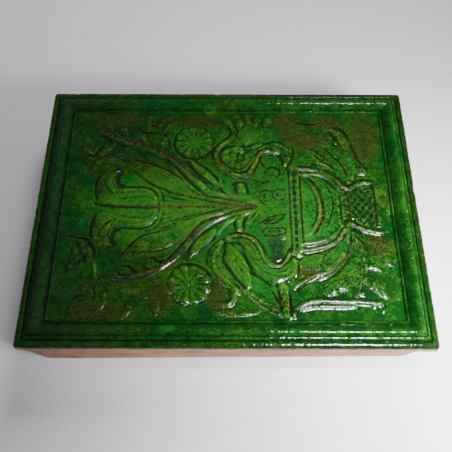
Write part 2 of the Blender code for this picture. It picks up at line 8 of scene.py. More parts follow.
import bpy
import numpy as np
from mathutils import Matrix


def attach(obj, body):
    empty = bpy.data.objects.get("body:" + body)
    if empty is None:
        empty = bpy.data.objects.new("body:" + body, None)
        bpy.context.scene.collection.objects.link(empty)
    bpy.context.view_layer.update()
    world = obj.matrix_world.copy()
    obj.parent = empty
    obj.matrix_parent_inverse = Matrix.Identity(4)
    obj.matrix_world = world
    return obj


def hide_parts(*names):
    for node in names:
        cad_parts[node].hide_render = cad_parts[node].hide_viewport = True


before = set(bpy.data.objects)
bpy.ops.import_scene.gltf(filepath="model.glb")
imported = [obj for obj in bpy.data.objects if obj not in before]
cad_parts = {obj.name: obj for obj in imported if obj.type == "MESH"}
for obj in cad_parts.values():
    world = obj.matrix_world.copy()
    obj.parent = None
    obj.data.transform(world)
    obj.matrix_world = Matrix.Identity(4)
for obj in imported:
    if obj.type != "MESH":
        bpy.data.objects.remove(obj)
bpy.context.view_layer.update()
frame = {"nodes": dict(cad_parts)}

log = logging.getLogger("stove_tile")

Point = tuple[float, float]
Path = list[Point]
Nearness = tuple[tuple[slice, slice], np.ndarray, np.ndarray, np.ndarray]
MM = 0.001


class Cut(Enum):
    """How a stroke of the carving is rounded across its width."""

    ROUND = "round"
    FLAT = "flat"
    SOFT = "soft"


def cut_profile(u: np.ndarray, cut: Cut) -> np.ndarray:
    """Height share across a stroke.

    Args:
        u: Distance from the stroke's middle as a share of its half width.
        cut: The rounding of the stroke.

    Returns:
        Heights from 0 at the edge to about 1 at the top.
    """
    inside = np.clip(1.0 - u * u, 0.0, 1.0)
    if cut is Cut.ROUND:
        return inside ** 0.6
    if cut is Cut.FLAT:
        return np.clip((1.0 - u) * 4.0, 0.0, 1.0) ** 0.7
    return inside


def bell(dist: np.ndarray, at: float, width: float) -> np.ndarray:
    """Bell curve that is 1 at one distance and dies away over a width."""
    return np.exp(-(((dist - at) / width) ** 2))


def smooth_path(points: Path, per_span: int = 7) -> np.ndarray:
    """Catmull-Rom curve through some points.

    Args:
        points: The points it passes, in pattern millimetres.
        per_span: Steps between two points.

    Returns:
        An array of points along the curve.
    """
    pts = [np.array(p, float) for p in points]
    pts = [2.0 * pts[0] - pts[1]] + pts + [2.0 * pts[-1] - pts[-2]]
    out = []
    for a, b, c, d in zip(pts, pts[1:], pts[2:], pts[3:]):
        for k in range(per_span):
            t = k / per_span
            bend = (2.0 * a - 5.0 * b + 4.0 * c - d) * t * t
            twist = (3.0 * b - a - 3.0 * c + d) * t ** 3
            out.append(0.5 * (2.0 * b + (c - a) * t + bend + twist))
    out.append(pts[-2])
    return np.array(out)


def between(curve_a: Path, curve_b: Path, share: float) -> Path:
    """Curve lying a share of the way from one curve to another."""
    return [(ax + (bx - ax) * share, ay + (by - ay) * share) for (ax, ay), (bx, by) in zip(curve_a, curve_b)]


def mirrored(points: Path, side: int, axis: float = 1.0) -> Path:
    """Points given as offsets from the long axis, laid out on one side of it."""
    return [(x, axis + side * y) for x, y in points]


def arc(cx: float, cy: float, radius: float, start: float, stop: float, count: int = 7) -> Path:
    """Points along a circular arc, angles in degrees."""
    turns = [math.radians(start + (stop - start) * k / (count - 1)) for k in range(count)]
    return [(cx + radius * math.cos(a), cy + radius * math.sin(a)) for a in turns]


def blurred(z: np.ndarray, rounds: int) -> np.ndarray:
    """A field averaged with its neighbours again and again.

    Args:
        z: The field.
        rounds: How often it is averaged.

    Returns:
        The softened field.
    """
    for _ in range(rounds):
        p = np.pad(z, 1, mode="edge")
        across = 0.25 * p[:-2, :] + 0.5 * p[1:-1, :] + 0.25 * p[2:, :]
        z = 0.25 * across[:, :-2] + 0.5 * across[:, 1:-1] + 0.25 * across[:, 2:]
    return z


@dataclass
class Carving:
    """The relief of the field, worked out on a grid in pattern millimetres.

    The pattern lies on its side: the flower is at low x, the foot of the vase at high x.
    """

    length: float = 257.0
    width: float = 187.0
    nx: int = 302
    ny: int = 220
    relief: float = 0.32
    stretch: float = 0.985
    shift: Point = (0.2, -1.0)
    cut_width: float = 0.95
    lip_at: float = 1.7
    vein_length: float = 3.6
    vein_width: float = 0.95
    broad_leaf: float = 3.0
    plain_form: float = 9.0
    xs: np.ndarray = field(init=False)
    ys: np.ndarray = field(init=False)
    gx: np.ndarray = field(init=False)
    gy: np.ndarray = field(init=False)
    z: np.ndarray = field(init=False)
    rust: np.ndarray = field(init=False)
    tone: np.ndarray = field(init=False)
    ink: np.ndarray = field(init=False)
    carved: np.ndarray = field(init=False)
    grain: np.ndarray = field(init=False)
    strokes: int = field(init=False, default=0)

    def __post_init__(self) -> None:
        """Lay out the bare field."""
        true_x = np.linspace(-0.5 * self.length, 0.5 * self.length, self.nx + 1)
        true_y = np.linspace(-0.5 * self.width, 0.5 * self.width, self.ny + 1)
        self.xs = (true_x - self.shift[0]) / self.stretch
        self.ys = true_y - self.shift[1]
        self.gx, self.gy = np.meshgrid(self.xs, self.ys, indexing="ij")
        self.z, self.rust, self.tone, self.ink = (np.zeros_like(self.gx) for _ in range(4))
        self.carved = np.full_like(self.gx, 0.35)
        self.grain = np.stack([self.gx / 3.5, self.gy / 1.4, np.zeros_like(self.gx)], axis=-1)

    def near(self, points: Path, reach: float) -> Nearness:
        """Measure the field round a path.

        Args:
            points: The path.
            reach: How far round it to look.

        Returns:
            The part of the grid, the distance from the path, the share along it and the length run.
        """
        path = smooth_path(points)
        low, high = path.min(axis=0) - reach, path.max(axis=0) + reach
        i0, i1 = np.searchsorted(self.xs, (low[0], high[0]))
        j0, j1 = np.searchsorted(self.ys, (low[1], high[1]))
        part = (slice(i0, i1), slice(j0, j1))
        gx, gy = self.gx[part], self.gy[part]
        best = np.full(gx.shape, 1.0e9)
        share = np.zeros(gx.shape)
        lengths = np.hypot(*(path[1:] - path[:-1]).T)
        total = lengths.sum()
        run = 0.0
        for a, b, length in zip(path[:-1], path[1:], lengths):
            if length < 1.0e-9:
                continue
            dx, dy = (b - a) / length
            along = np.clip((gx - a[0]) * dx + (gy - a[1]) * dy, 0.0, length)
            dist = np.hypot(gx - a[0] - along * dx, gy - a[1] - along * dy)
            closer = dist < best
            best = np.where(closer, dist, best)
            share = np.where(closer, (run + along) / total, share)
            run += length
        return part, best, share, share * total

    def lay(self, points: Path, widths: tuple[float, ...], height: float, cut: Cut = Cut.ROUND,
            trench: float = 0.8) -> None:
        """Lay a leaf or band over what is there, with a cut line round it.

        Args:
            points: Its middle line.
            widths: Its half widths from start to end.
            height: Its height above the ground.
            cut: Its rounding.
            trench: Depth of the line cut round it.
        """
        part, dist, share, run = self.near(points, max(widths) + 3.0)
        width = np.interp(share, np.linspace(0.0, 1.0, len(widths)), widths)
        u = dist / np.maximum(width, 0.05)
        inside = u < 1.0
        old = self.z[part] - 0.75 * trench * bell(dist - width, 0.4, 0.65) * (u > 0.6)
        self.z[part] = np.where(inside, np.maximum(old, height * cut_profile(u, cut)), old)
        # Veins lean off the middle line on broad leaves and run along narrow bands
        lean = math.radians(32.0 if max(widths) > self.broad_leaf else 8.0)
        self.strokes += 1
        along = (run * math.cos(lean) + dist * math.sin(lean)) / self.vein_length
        across = (dist * math.cos(lean) - run * math.sin(lean)) / self.vein_width
        marks = np.stack([along, across, np.full_like(run, 3.7 * self.strokes)], axis=-1)
        leaf = max(widths) < self.plain_form
        if leaf:
            self.grain[part] = np.where(inside[..., None], marks, self.grain[part])
        self.carved[part] = np.where(inside, 1.0 if leaf else 0.75, self.carved[part])

    def score(self, points: Path, widths: tuple[float, ...], height: float) -> None:
        """Raise a soft ridge on the surface, or cut a groove where the height is negative."""
        part, dist, share, _ = self.near(points, max(widths) + 1.0)
        width = np.interp(share, np.linspace(0.0, 1.0, len(widths)), widths)
        self.z[part] += height * cut_profile(dist / np.maximum(width, 0.05), Cut.SOFT)

    def line(self, paths: tuple[Path, ...], depth: float = 1.1, lip: float = 0.5) -> None:
        """Cut thin lines, which the glaze fills darkly, with the clay pushed up a little beside them.

        Args:
            paths: The lines.
            depth: How deep they are cut.
            lip: How far the clay rises on either side.
        """
        for points in paths:
            part, dist, share, run = self.near(points, 3.6)
            ends = np.minimum(run, run * (1.0 / np.maximum(share, 1e-6) - 1.0))
            closed = math.dist(points[0], points[-1]) < 0.1
            fade = np.ones_like(run) if closed else np.clip(0.3 + ends / 4.0, 0.0, 1.0)
            dark = fade * min(depth, 1.0)
            cut = bell(dist, 0.0, self.cut_width)
            self.z[part] += fade * (lip * bell(dist, self.lip_at, 0.8) - depth * cut)
            self.ink[part] = np.maximum(self.ink[part], dark * cut)
            self.rust[part] = np.maximum(self.rust[part], 0.26 * dark * bell(dist, self.lip_at, 0.9))

    def redden(self, points: Path, width: float, amount: float) -> None:
        """Mark a thin line where the glaze has run off a crest and the clay shows rusty."""
        part, dist, _, _ = self.near(points, 2.5 * width)
        self.rust[part] = np.maximum(self.rust[part], 0.65 * amount * bell(dist, 0.0, width))

    def darken(self, points: Path, width: float, amount: float) -> None:
        """Paint a band darker and bluish, mostly as painted shade in hollows, pits and beside the stems."""
        part, dist, _, _ = self.near(points, width + 1.0)
        self.tone[part] += amount * np.clip(1.5 - 1.5 * dist / width, 0.0, 1.0)

    def boss(self, cx: float, cy: float, rx: float, ry: float, height: float, turn: float = 0.0,
             power: float = 0.6, trench: float = 0.6) -> None:
        """Lay an oval boss.

        Args:
            cx: Middle along the length.
            cy: Middle across.
            rx: First half size.
            ry: Second half size.
            height: Height above the ground.
            turn: Turn of the first half size from the length, in degrees.
            power: Lower is flatter on top.
            trench: Depth of the line cut round it.
        """
        c, s = math.cos(math.radians(turn)), math.sin(math.radians(turn))
        px = (self.gx - cx) * c + (self.gy - cy) * s
        py = (self.gy - cy) * c - (self.gx - cx) * s
        u = np.hypot(px / rx, py / ry)
        edge = (u - 1.0) * min(rx, ry)
        self.z -= trench * bell(edge, 0.5, 0.75)
        shape = height * np.clip(1.0 - u * u, 0.0, 1.0) ** power
        self.z = np.where(u < 1.0, np.maximum(self.z, shape), self.z)

    def rosette(self, cx: float, cy: float, radius: float, petals: int, height: float, phase: float) -> None:
        """Lay a round flower of narrow petals with a small eye.

        Args:
            cx: Middle along the length.
            cy: Middle across.
            radius: Outer radius.
            petals: Number of petals.
            height: Height of the petals.
            phase: Turn of the first petal in radians.
        """
        dx, dy = self.gx - cx, self.gy - cy
        r, angle = np.hypot(dx, dy) / radius, np.arctan2(dy, dx)
        wave = np.abs(np.cos((angle - phase) * petals / 2.0))
        edge = 0.88 + 0.12 * wave
        body = np.clip((edge - r) / 0.14, 0.0, 1.0) ** 0.7
        petal = (0.35 + 0.65 * wave ** 0.7) * (0.5 + 0.5 * np.clip(r * 1.5, 0.0, 1.0))
        self.z -= 0.6 * bell(r * radius - radius, 0.5, 0.8)
        self.z = np.where(r < edge, height * body * petal, self.z)
        marks = np.stack([r * radius / self.vein_length, angle * radius / 1.6, np.full_like(r, cx)], axis=-1)
        self.grain = np.where((r < edge)[..., None], marks, self.grain)
        self.carved = np.where(r < edge, 0.8, self.carved)
        self.boss(cx, cy, radius * 0.14, radius * 0.14, height * 0.7, trench=0.3)
        for k in range(petals):
            turn = phase + math.pi * (2 * k + 1) / petals
            c, s = radius * math.cos(turn), radius * math.sin(turn)
            self.line(([(cx + share * c, cy + share * s) for share in (0.16, 0.93)],), 0.45, 0.3)
        self.line((arc(cx, cy, radius, 0, 360, 17),), 0.3, 0.2)

    def fan(self) -> None:
        """Two broad blades that spread from the focal point between the main stems, finely veined."""
        upper_top = [(25, 3), (0, 9), (-25, 14.6), (-39.6, 29.2), (-55.8, 39.2), (-79, 47)]
        upper_low = [(25, 2), (0, 4), (-27, 9.5), (-49.6, 17.5), (-63.5, 24.6), (-78, 36.2)]
        lower_top = [(25, 1), (0, 0), (-25, -7.3), (-48, -19.2), (-67.3, -25), (-81, -41)]
        lower_low = [(25, 0), (5, -4), (-18, -12.7), (-35, -27.3), (-51.2, -36.5), (-68, -39)]
        for first, last in ((upper_low, upper_top), (lower_top, lower_low)):
            middle = between(first, last, 0.5)
            self.lay(middle, (1.0, 2.6, 5.0, 8.2, 8.4, 5.0), 1.5, Cut.FLAT, 0.2)
            for k in range(7):
                self.line((between(first, last, k / 6.0),), 1.0 if k in (0, 6) else 0.6, 0.5)
        heart_up = [(25, 2.4), (0, 5), (-25, 8.5), (-52, 16)]
        heart_down = [(25, 1), (0, -2), (-25, -6.5), (-54, -19)]
        self.lay(between(heart_up, heart_down, 0.5), (1.0, 3.0, 6.5, 8.9), 1.3, Cut.FLAT, 0.1)
        for k in range(9):
            self.line((between(heart_up, heart_down, k / 8.0),), 0.6, 0.5)
            self.redden(between(heart_up, heart_down, k / 8.0), 0.8, 0.3)

    def stems(self) -> None:
        """The two main stems that frame the fan, with small leaves along them."""
        upper = [(25, 4), (5, 10), (-15, 16), (-25, 26), (-35, 37), (-46, 46), (-58, 54), (-70, 59),
                 (-84, 64), (-98, 69.5), (-112, 79)]
        lower = [(25, 0), (13, -2.7), (0, -6.5), (-10, -10.5), (-21.2, -18), (-32.7, -33.5), (-44.2, -46.5),
                 (-56, -54), (-70, -58.5), (-86, -62), (-100, -64), (-112, -72)]
        self.lay(upper, (1.2, 2.0, 2.4, 2.8, 3.0, 3.4, 3.8, 4.0, 3.0, 1.6), 3.4, Cut.ROUND, 0.6)
        self.lay(lower, (1.2, 2.0, 2.2, 2.2, 2.2, 2.4, 2.8, 3.0, 2.6, 1.5), 2.0, Cut.SOFT, 0.5)
        # The stems are painted darker and bluish along one side: painted shade
        self.darken([(x, y + 2.0) for x, y in upper[3:9]], 3.6, 0.75)
        self.darken([(x, y - 1.0) for x, y in lower[3:]], 3.0, 0.7)
        self.line((
            [(-112, 79), (-108, 77), (-104, 74.5), (-99.5, 71), (-95, 69), (-89, 67), (-81, 64), (-75, 62.3),
             (-69, 60.4), (-62, 58), (-55, 54.6), (-50.4, 51.2), (-44.2, 47), (-38.8, 42.7), (-34.2, 37),
             (-28.8, 32.3), (-23.5, 27.7), (-15, 23)], [(-98.8, 74.6), (-95.5, 71), (-92, 68.5)],
            [(-85.8, 67.7), (-82, 65), (-78, 63.8)], [(-74.2, 66.2), (-71, 63), (-68, 60.8)],
            [(-67.3, 67), (-65, 62), (-62, 58.5)],
            [(-68, -59.6), (-61.2, -58), (-55.8, -55), (-48, -52), (-42.7, -48.8)],
            [(-50, -47.5), (-42, -41), (-35, -32), (-29, -24), (-22, -14.5), (-13, -8.5), (0, -4.2)],
            [(-52, 48), (-44, 41), (-36, 31), (-28, 22), (-19, 13.5), (-8, 9)],
        ), 1.1, 0.4)
        self.redden([(-52, -53.5), (-45, -50), (-38, -44)], 0.9, 0.8)

    def lily(self) -> None:
        """Open flower on the axis: two broad petals that roll back at their tips, and a palmette."""
        for k in range(9):
            angle = math.radians(180 + (k - 4) * 10)
            start = (-104 + 3 * math.cos(angle), 1 + 7 * math.sin(angle))
            stop = (-104 + 19 * math.cos(angle), 1 + 24 * math.sin(angle))
            self.lay([start, stop], (0.8, 1.5, 0.9), 1.4, Cut.SOFT, 0.3)
        for s in (1, -1):
            body = [(-58, 6), (-66, 9.2), (-78, 9.4), (-90, 9.4), (-97, 12)]
            self.lay(mirrored(body, s), (5.0, 8.6, 8.8, 8.6, 8.4), 2.7, Cut.FLAT, 0.4)
            self.boss(-97.5, 1 + 23 * s, 8.8, 12.0, 3.3, -12.0 * s, 0.32, 0.4)
            self.lay(mirrored([(-103, 28), (-97, 33), (-87, 34)], s), (2.4, 2.8, 1.2), 3.4, Cut.ROUND, 0.3)
            hollow = mirrored([(-87, 34), (-89.6, 28), (-88.6, 22), (-84.5, 19.5)], s)
            self.score(hollow, (1.0, 2.6, 2.2, 0.8), -2.6)
            # The hollow inside the curl is painted dark: painted shadow
            self.darken(hollow, 2.6, 1.2)
            # The rolled tip of the petal is painted darker: painted shade
            self.darken(mirrored([(-103, 14), (-101, 20), (-99, 26)], s), 5.0, 0.4)
            self.line((
                mirrored([(-103.5, 7), (-106, 13), (-106.7, 20), (-105.2, 26), (-102, 30.5), (-97, 33.5),
                          (-91, 35.5), (-87, 34)], s),
                mirrored([(-84, 18.4), (-75, 18.6), (-67, 18.5), (-60.5, 16.2), (-57, 12), (-55, 6),
                          (-54, 0.5)], s),
                mirrored([(-100, 27), (-98.5, 20), (-94, 14), (-89, 11.5)], s),
                mirrored([(-91.5, 30), (-93, 24), (-90.5, 18.5)], s),
            ), 1.2, 0.6)
            self.line((
                mirrored([(-51.2, 0.8), (-51.2, 9), (-53.5, 15), (-58, 19.5), (-66, 21.5)], s),
                mirrored([(-58, 5), (-62, 9), (-70, 9.8), (-79, 8.8), (-87, 7)], s),
                mirrored([(-59, 9.5), (-64, 13.4), (-73, 14.2), (-83, 13.4), (-91, 12)], s),
            ), 0.7, 0.4)
            for k in range(8):
                x = -60 - 4.4 * k
                self.line((
                    mirrored([(x, 0.8), (x - 5, 3.4), (x - 9, 7.5)], s),
                    mirrored([(x - 4, 9.5), (x - 7, 13), (x - 8, 16.5)], s),
                ), 0.4, 0.3)
                self.redden(mirrored([(x, 0.8), (x - 4.5, 3)], s), 0.7, 0.35)
            for k in range(5):
                share = (k + 0.6) / 5.0
                outer, inner = [(-103, 8), (-106, 17), (-103, 28)], [(-92, 13), (-95.5, 20), (-96, 31)]
                self.line((mirrored(between(outer, inner, share), s),), 0.45, 0.3)
        self.line(([(25, 1.4), (-10, 1.4), (-40, 1.4), (-70, 1.2), (-98, 2.5), (-107, 5.5)],), 1.0, 0.3)
        self.redden([(27, 1.4), (-30, 1.5), (-62, 1.4)], 1.0, 0.8)

    def focal_leaves(self) -> None:
        """Small leaves round the point where everything meets."""
        self.lay([(20, 6), (5, 11), (-3, 20), (-6, 27)], (1.0, 2.4, 2.8, 1.4), 2.6, Cut.FLAT, 0.4)
        self.lay([(22, 6), (15, 10), (11, 16), (10, 24)], (1.2, 3.4, 5.0, 2.0), 2.8, Cut.FLAT, 0.5)
        self.lay([(10.4, 14), (10.4, 22.5)], (1.6, 1.8, 1.2), 3.8)
        self.lay([(29, 4), (24, 12), (19, 18)], (1.0, 2.4, 1.2), 2.6, Cut.FLAT, 0.4)
        self.lay([(-6, 21), (-16, 30), (-25, 39), (-33, 47)], (1.4, 3.2, 3.6, 1.2), 2.6, Cut.FLAT, 0.5)
        self.lay([(22, -2), (12, -5), (9, -12), (10, -18)], (1.2, 2.4, 3.4, 2.4), 3.0, Cut.FLAT, 0.5)
        self.lay([(26, -2), (19, -8), (16, -14), (15, -19)], (1.2, 2.0, 2.0, 1.0), 2.4, Cut.FLAT, 0.4)
        self.lay([(10, -7), (0, -12), (-5, -17), (-8, -24)], (1.0, 1.8, 2.0, 1.0), 2.4, Cut.FLAT, 0.5)
        self.lay([(-9, -19), (-16, -26), (-23, -34), (-29, -42)], (1.6, 3.4, 4.0, 1.2), 2.0, Cut.FLAT, 0.5)
        self.line((
            [(7.5, 22), (7, 19), (7.6, 15.5), (9, 12.5)], [(14.3, 22), (16, 17.5), (16, 12)],
            [(-4.3, 26.7), (-3, 21.3), (1, 16), (5, 12), (11, 8.7), (17.7, 6.7)],
            [(-7.5, 25), (-5, 18.5), (-1, 13), (5, 9), (12, 6.5)],
            [(4, 21), (6, 23.5), (11, 24.5), (15, 23), (17, 19)],
            [(20.5, 15.5), (24, 11.5), (27, 6.5), (31.7, 2)],
            [(12.3, -4.3), (8.5, -8.5), (6.3, -13), (7, -17.5)], [(15.5, -7), (13, -12), (12.5, -19)],
            [(23.7, -2.3), (20.5, -7), (17.7, -11)], [(27, -3), (23, -9), (19, -14)],
            [(-29.6, -41.2), (-28, -33.5), (-23, -25.5), (-15, -18.8), (-6, -12)], [(-7, -17), (-8.5, -24),
                                                                                    (-14, -30), (-22, -37)],
            [(-25.8, -28), (-17, -20), (-9, -15.5)], [(-33, 46), (-28, 37.5), (-20, 29), (-12, 23)],
            [(-27, 45), (-17, 38), (-10, 30), (-6, 24)], [(21.7, 0.6), (15, -0.3), (8.3, -1.9), (1, -3.9),
                                                          (-5, -6.5), (-15, -11)],
        ), 1.0, 0.5)

    def rosettes(self) -> None:
        """Two round flowers in the bends of the stems."""
        self.score(arc(-28, 64, 19, 150, 300), (1.0, 1.6, 1.0), 1.2)
        self.score(arc(-28, -65, 19, 20, 160), (1.0, 1.6, 1.0), 1.2)
        self.rosette(-28, 64, 16.5, 12, 2.8, 0.1)
        self.rosette(-28, -65, 16.5, 12, 2.8, 0.3)
        self.line((
            [(-42.7, 70), (-44.8, 62), (-43, 56), (-39, 51), (-33, 48), (-27, 46.5)],
            [(-43.5, -53.5), (-39.6, -50.4), (-32.7, -48), (-24.2, -48.8), (-18, -52), (-13, -57)],
        ), 1.0, 0.4)

    def near_scroll(self) -> None:
        """Leaf scroll between the near stem and the vase: flat bodies under parallel cut lines."""
        self.lay([(-4, -29), (-9, -37), (-10, -47), (-4, -58), (4, -66), (8, -71)],
                 (1.4, 3.4, 4.4, 4.6, 3.6, 1.6), 3.0, Cut.FLAT, 0.7)
        self.lay([(1, -33), (6, -44), (12, -56), (16, -66)], (2.0, 6.5, 6.5, 2.5), 2.8, Cut.FLAT, 0.5)
        self.lay([(0, -27), (12, -27), (20, -36), (26, -48), (36, -56), (46, -54), (52, -46)],
                 (2.0, 3.6, 6.0, 8.0, 9.0, 7.0, 3.0), 3.4, Cut.FLAT, 0.8)
        self.lay([(42, -67), (43, -78), (44, -92)], (3.6, 3.0, 2.4), 3.4, Cut.FLAT, 0.7)
        self.lay([(14, -70), (24, -77), (40, -89)], (2.0, 3.6, 1.6), 2.6, Cut.SOFT, 0.5)
        self.lay([(-6, -81), (2, -80), (5, -74), (4, -68)], (1.6, 2.2, 2.2, 1.2), 3.0)
        self.lay([(-8, -86), (0, -87.5), (10, -88), (24, -86)], (1.0, 1.8, 1.8, 1.0), 1.8, Cut.SOFT, 0.4)
        self.lay([(-1, -24.8), (6, -23.5), (14, -24), (21, -27.5), (25, -33), (28, -41), (32, -47.5),
                  (38, -50), (44, -47), (48, -39)], (0.9, 1.3, 1.3, 1.3, 1.3, 1.0), 4.6, Cut.ROUND, 0.3)
        self.line((
            [(-3, -27.7), (1.7, -24.3), (6.3, -22.3), (11, -22), (16.3, -23.7), (21.7, -26.3), (24.3, -29.7),
             (27, -35), (28.3, -40.3), (30.3, -44.3), (33.7, -47), (37.7, -47.7), (41.7, -45.7), (45.7, -41),
             (48.3, -35)],
            [(1.7, -27.7), (7, -25.7), (12.3, -25.7), (17.7, -27.7), (21.7, -32.3), (24.3, -37.7),
             (27, -43.7), (30.3, -48.3), (35, -51.7), (40.3, -51.7), (44.3, -48.3), (47, -44.3)],
            [(-5, -31), (-9.7, -36.3), (-11.7, -41.7), (-12.3, -48.3), (-8, -58), (-1, -64.3), (4.3, -67)],
            [(-9, -48.3), (-3, -56.3), (3.7, -63), (9.7, -67.7)], [(-1.7, -37.7), (-3, -44.3), (1.7, -52.3),
                                                                   (7, -59.7), (12.3, -65.7), (15, -69)],
            [(33.7, -69), (35.7, -73.7), (38.3, -79), (41, -84.3)], [(38.3, -69.7), (40.3, -76.3),
                                                                     (41.7, -83.7)],
            [(46.7, -71.7), (47, -80), (46.7, -87)], [(24.3, -79.7), (31.7, -84.3), (37, -87.7)],
            [(51, -39), (53.5, -46), (54.5, -54), (52, -60)], [(5, -71.7), (3.7, -75.7), (0.3, -79)],
            [(-9.7, -84.3), (-4.3, -86.3), (1.7, -88.3), (8.3, -89)],
        ))
        self.line((
            [(12.3, -29), (16.3, -31.7), (19.7, -36.3), (21.7, -41.7), (25, -47), (29.7, -51.7), (36, -55),
             (43, -54), (48, -49)],
            [(13, -33), (17, -39), (19.5, -45), (24, -51), (31, -56), (39, -58.5), (46, -57), (51, -51)],
            [(11, -37), (15, -45), (19, -51), (25, -56), (33, -61), (42, -62), (48, -60)],
            [(-2.3, -31), (4.3, -37.7), (11, -47), (17.7, -55), (25.7, -59), (32.3, -64.3)],
            [(1, -41), (3, -48), (8, -56), (13, -62)], [(5, -42), (9, -50), (13, -56)],
            [(-7, -40), (-8, -47), (-3, -54)],
        ), 0.7, 0.35)
        for path in ([(-3, -26.5), (6, -24), (14, -25), (22, -30)], [(13, -31), (20, -40), (27, -51)]):
            self.redden(path, 0.9, 0.8)
        # A plain hollow lies inside the bend, under the vase's mouth, painted darker as shade
        self.boss(38.7, -36.5, 8.6, 9.6, 1.6, 0.0, 0.35, 0.5)
        self.score([(30.3, -35), (30.5, -28.5), (38.3, -27.3), (43, -26), (47, -25),
                    (48.7, -30)], (0.7, 1.0, 0.7), 1.6)
        self.darken([(38.7, -30), (38.7, -42)], 9.5, 0.8)

    def far_scroll(self) -> None:
        """Leaf scroll between the far stem and the vase, with a fan leaf behind it."""
        for tip in ((-1, 87), (8, 90), (17, 92), (26, 89), (35, 87)):
            middle = (0.5 * (18 + tip[0]) + 1, 0.5 * (62 + tip[1]))
            self.lay([(16, 62), middle, tip], (1.4, 3.4, 3.4), 2.0, Cut.SOFT, 0.5)
        outer = [(3, 80), (6, 73), (1, 66), (-6, 60), (-9.6, 51), (-7, 42), (0, 35), (9, 31), (17, 33),
                 (22, 41), (26, 51), (33, 55), (41, 54)]
        self.lay([(8, 57), (1, 53), (0, 45), (7, 39), (15, 41), (19, 48), (23, 56)],
                 (3, 5, 5, 5, 5, 4, 2.4), 2.2, Cut.FLAT, 0.4)
        self.lay([(28, 57), (36, 58.5), (44, 58), (50, 52), (48, 41)],
                 (2.0, 4.6, 5.4, 4.2, 1.6), 2.8, Cut.FLAT, 0.7)
        self.lay(outer, (1.6, 2.2, 2.3, 2.4, 2.4, 2.3, 2.2), 3.8, Cut.FLAT, 0.6)
        self.lay([(18, 57), (23, 59.5), (28, 62)], (1.0, 2.0, 1.4), 3.8)
        for x, y, rx, ry, turn in ((5.7, 50.7, 2.0, 4.6, 10), (16.3, 50.7, 2.6, 2.0, 0), (9, 41, 2.6, 1.6, 0),
                                   (-1.2, 42.2, 2.8, 2.8, 0), (12, 56, 1.8, 3.4, 0)):
            self.boss(x, y, rx, ry, 3.4, turn)
        self.boss(-1.2, 42.2, 1.1, 1.1, 0.6, trench=1.6)
        self.line((
            [(3.7, 81.3), (7.7, 78), (8.3, 73.3), (4.3, 68.7), (-2.3, 64.7), (-7.7, 61.3), (-11, 56.7),
             (-11.7, 52), (-10.3, 46.7), (-7.7, 41.3), (-2.3, 35.3), (3.7, 31.3), (9.7, 29), (15, 29.3),
             (19, 32), (22.3, 36.7), (24.3, 41.3), (26.3, 46.7), (29, 50.7), (32.3, 52.7)],
            [(-7, 57.3), (-8.3, 52), (-7.7, 46.7), (-5, 40.7), (-0.3, 36), (4.3, 34), (11, 33.3), (16.3, 36),
             (20.3, 41.3), (23, 46.7), (25, 52), (27.7, 55.3), (31, 57.3), (35, 57.3), (39, 55.3),
             (42.3, 53.3)], [(12.3, 61.3), (13.4, 59), (14.3, 56.7)],
            [(15, 56), (20, 56.4), (23.7, 57.3)], [(43, 64.7), (48.3, 60.7), (51.5, 58)],
            [(54.3, 60), (55, 55), (53.7, 48), (50.5, 42.5), (48, 38.7)], [(18.5, 89.7), (23, 85.5),
                                                                           (29, 86)],
            [(26.5, 50), (28, 44), (31, 40)],
        ))
        self.line((
            [(-4.5, 58), (-6, 52), (-4, 45), (0.5, 39.5), (6, 37), (12, 37.5), (16, 41), (19, 46), (22, 52)],
            [(0, 58.7), (4, 60), (7, 60)], [(31, 62.7), (37, 64.5), (43, 64.7)],
            [(32.3, 60), (39, 61), (45, 57), (48.5, 50), (47.5, 43)],
            [(30, 54), (34, 51.5), (40, 52), (44.5, 47), (46.5, 41)], [(6.5, 77), (5.5, 72.5), (1, 68.5),
                                                                       (-4, 65.5)],
            [(2.5, 47), (2.5, 54), (5, 57)], [(8.5, 47), (8.6, 53)], [(12.5, 46), (17, 46.5), (20, 52)],
            [(32, 36), (36, 39.5), (41, 38), (43, 33), (40, 29)], [(20, 27.5), (26, 24.5), (33, 24.5),
                                                                   (41, 24.7)],
        ), 0.7, 0.35)
        self.redden([(-10, 48), (-3, 37), (8, 31), (18, 33), (25, 45)], 0.9, 0.6)

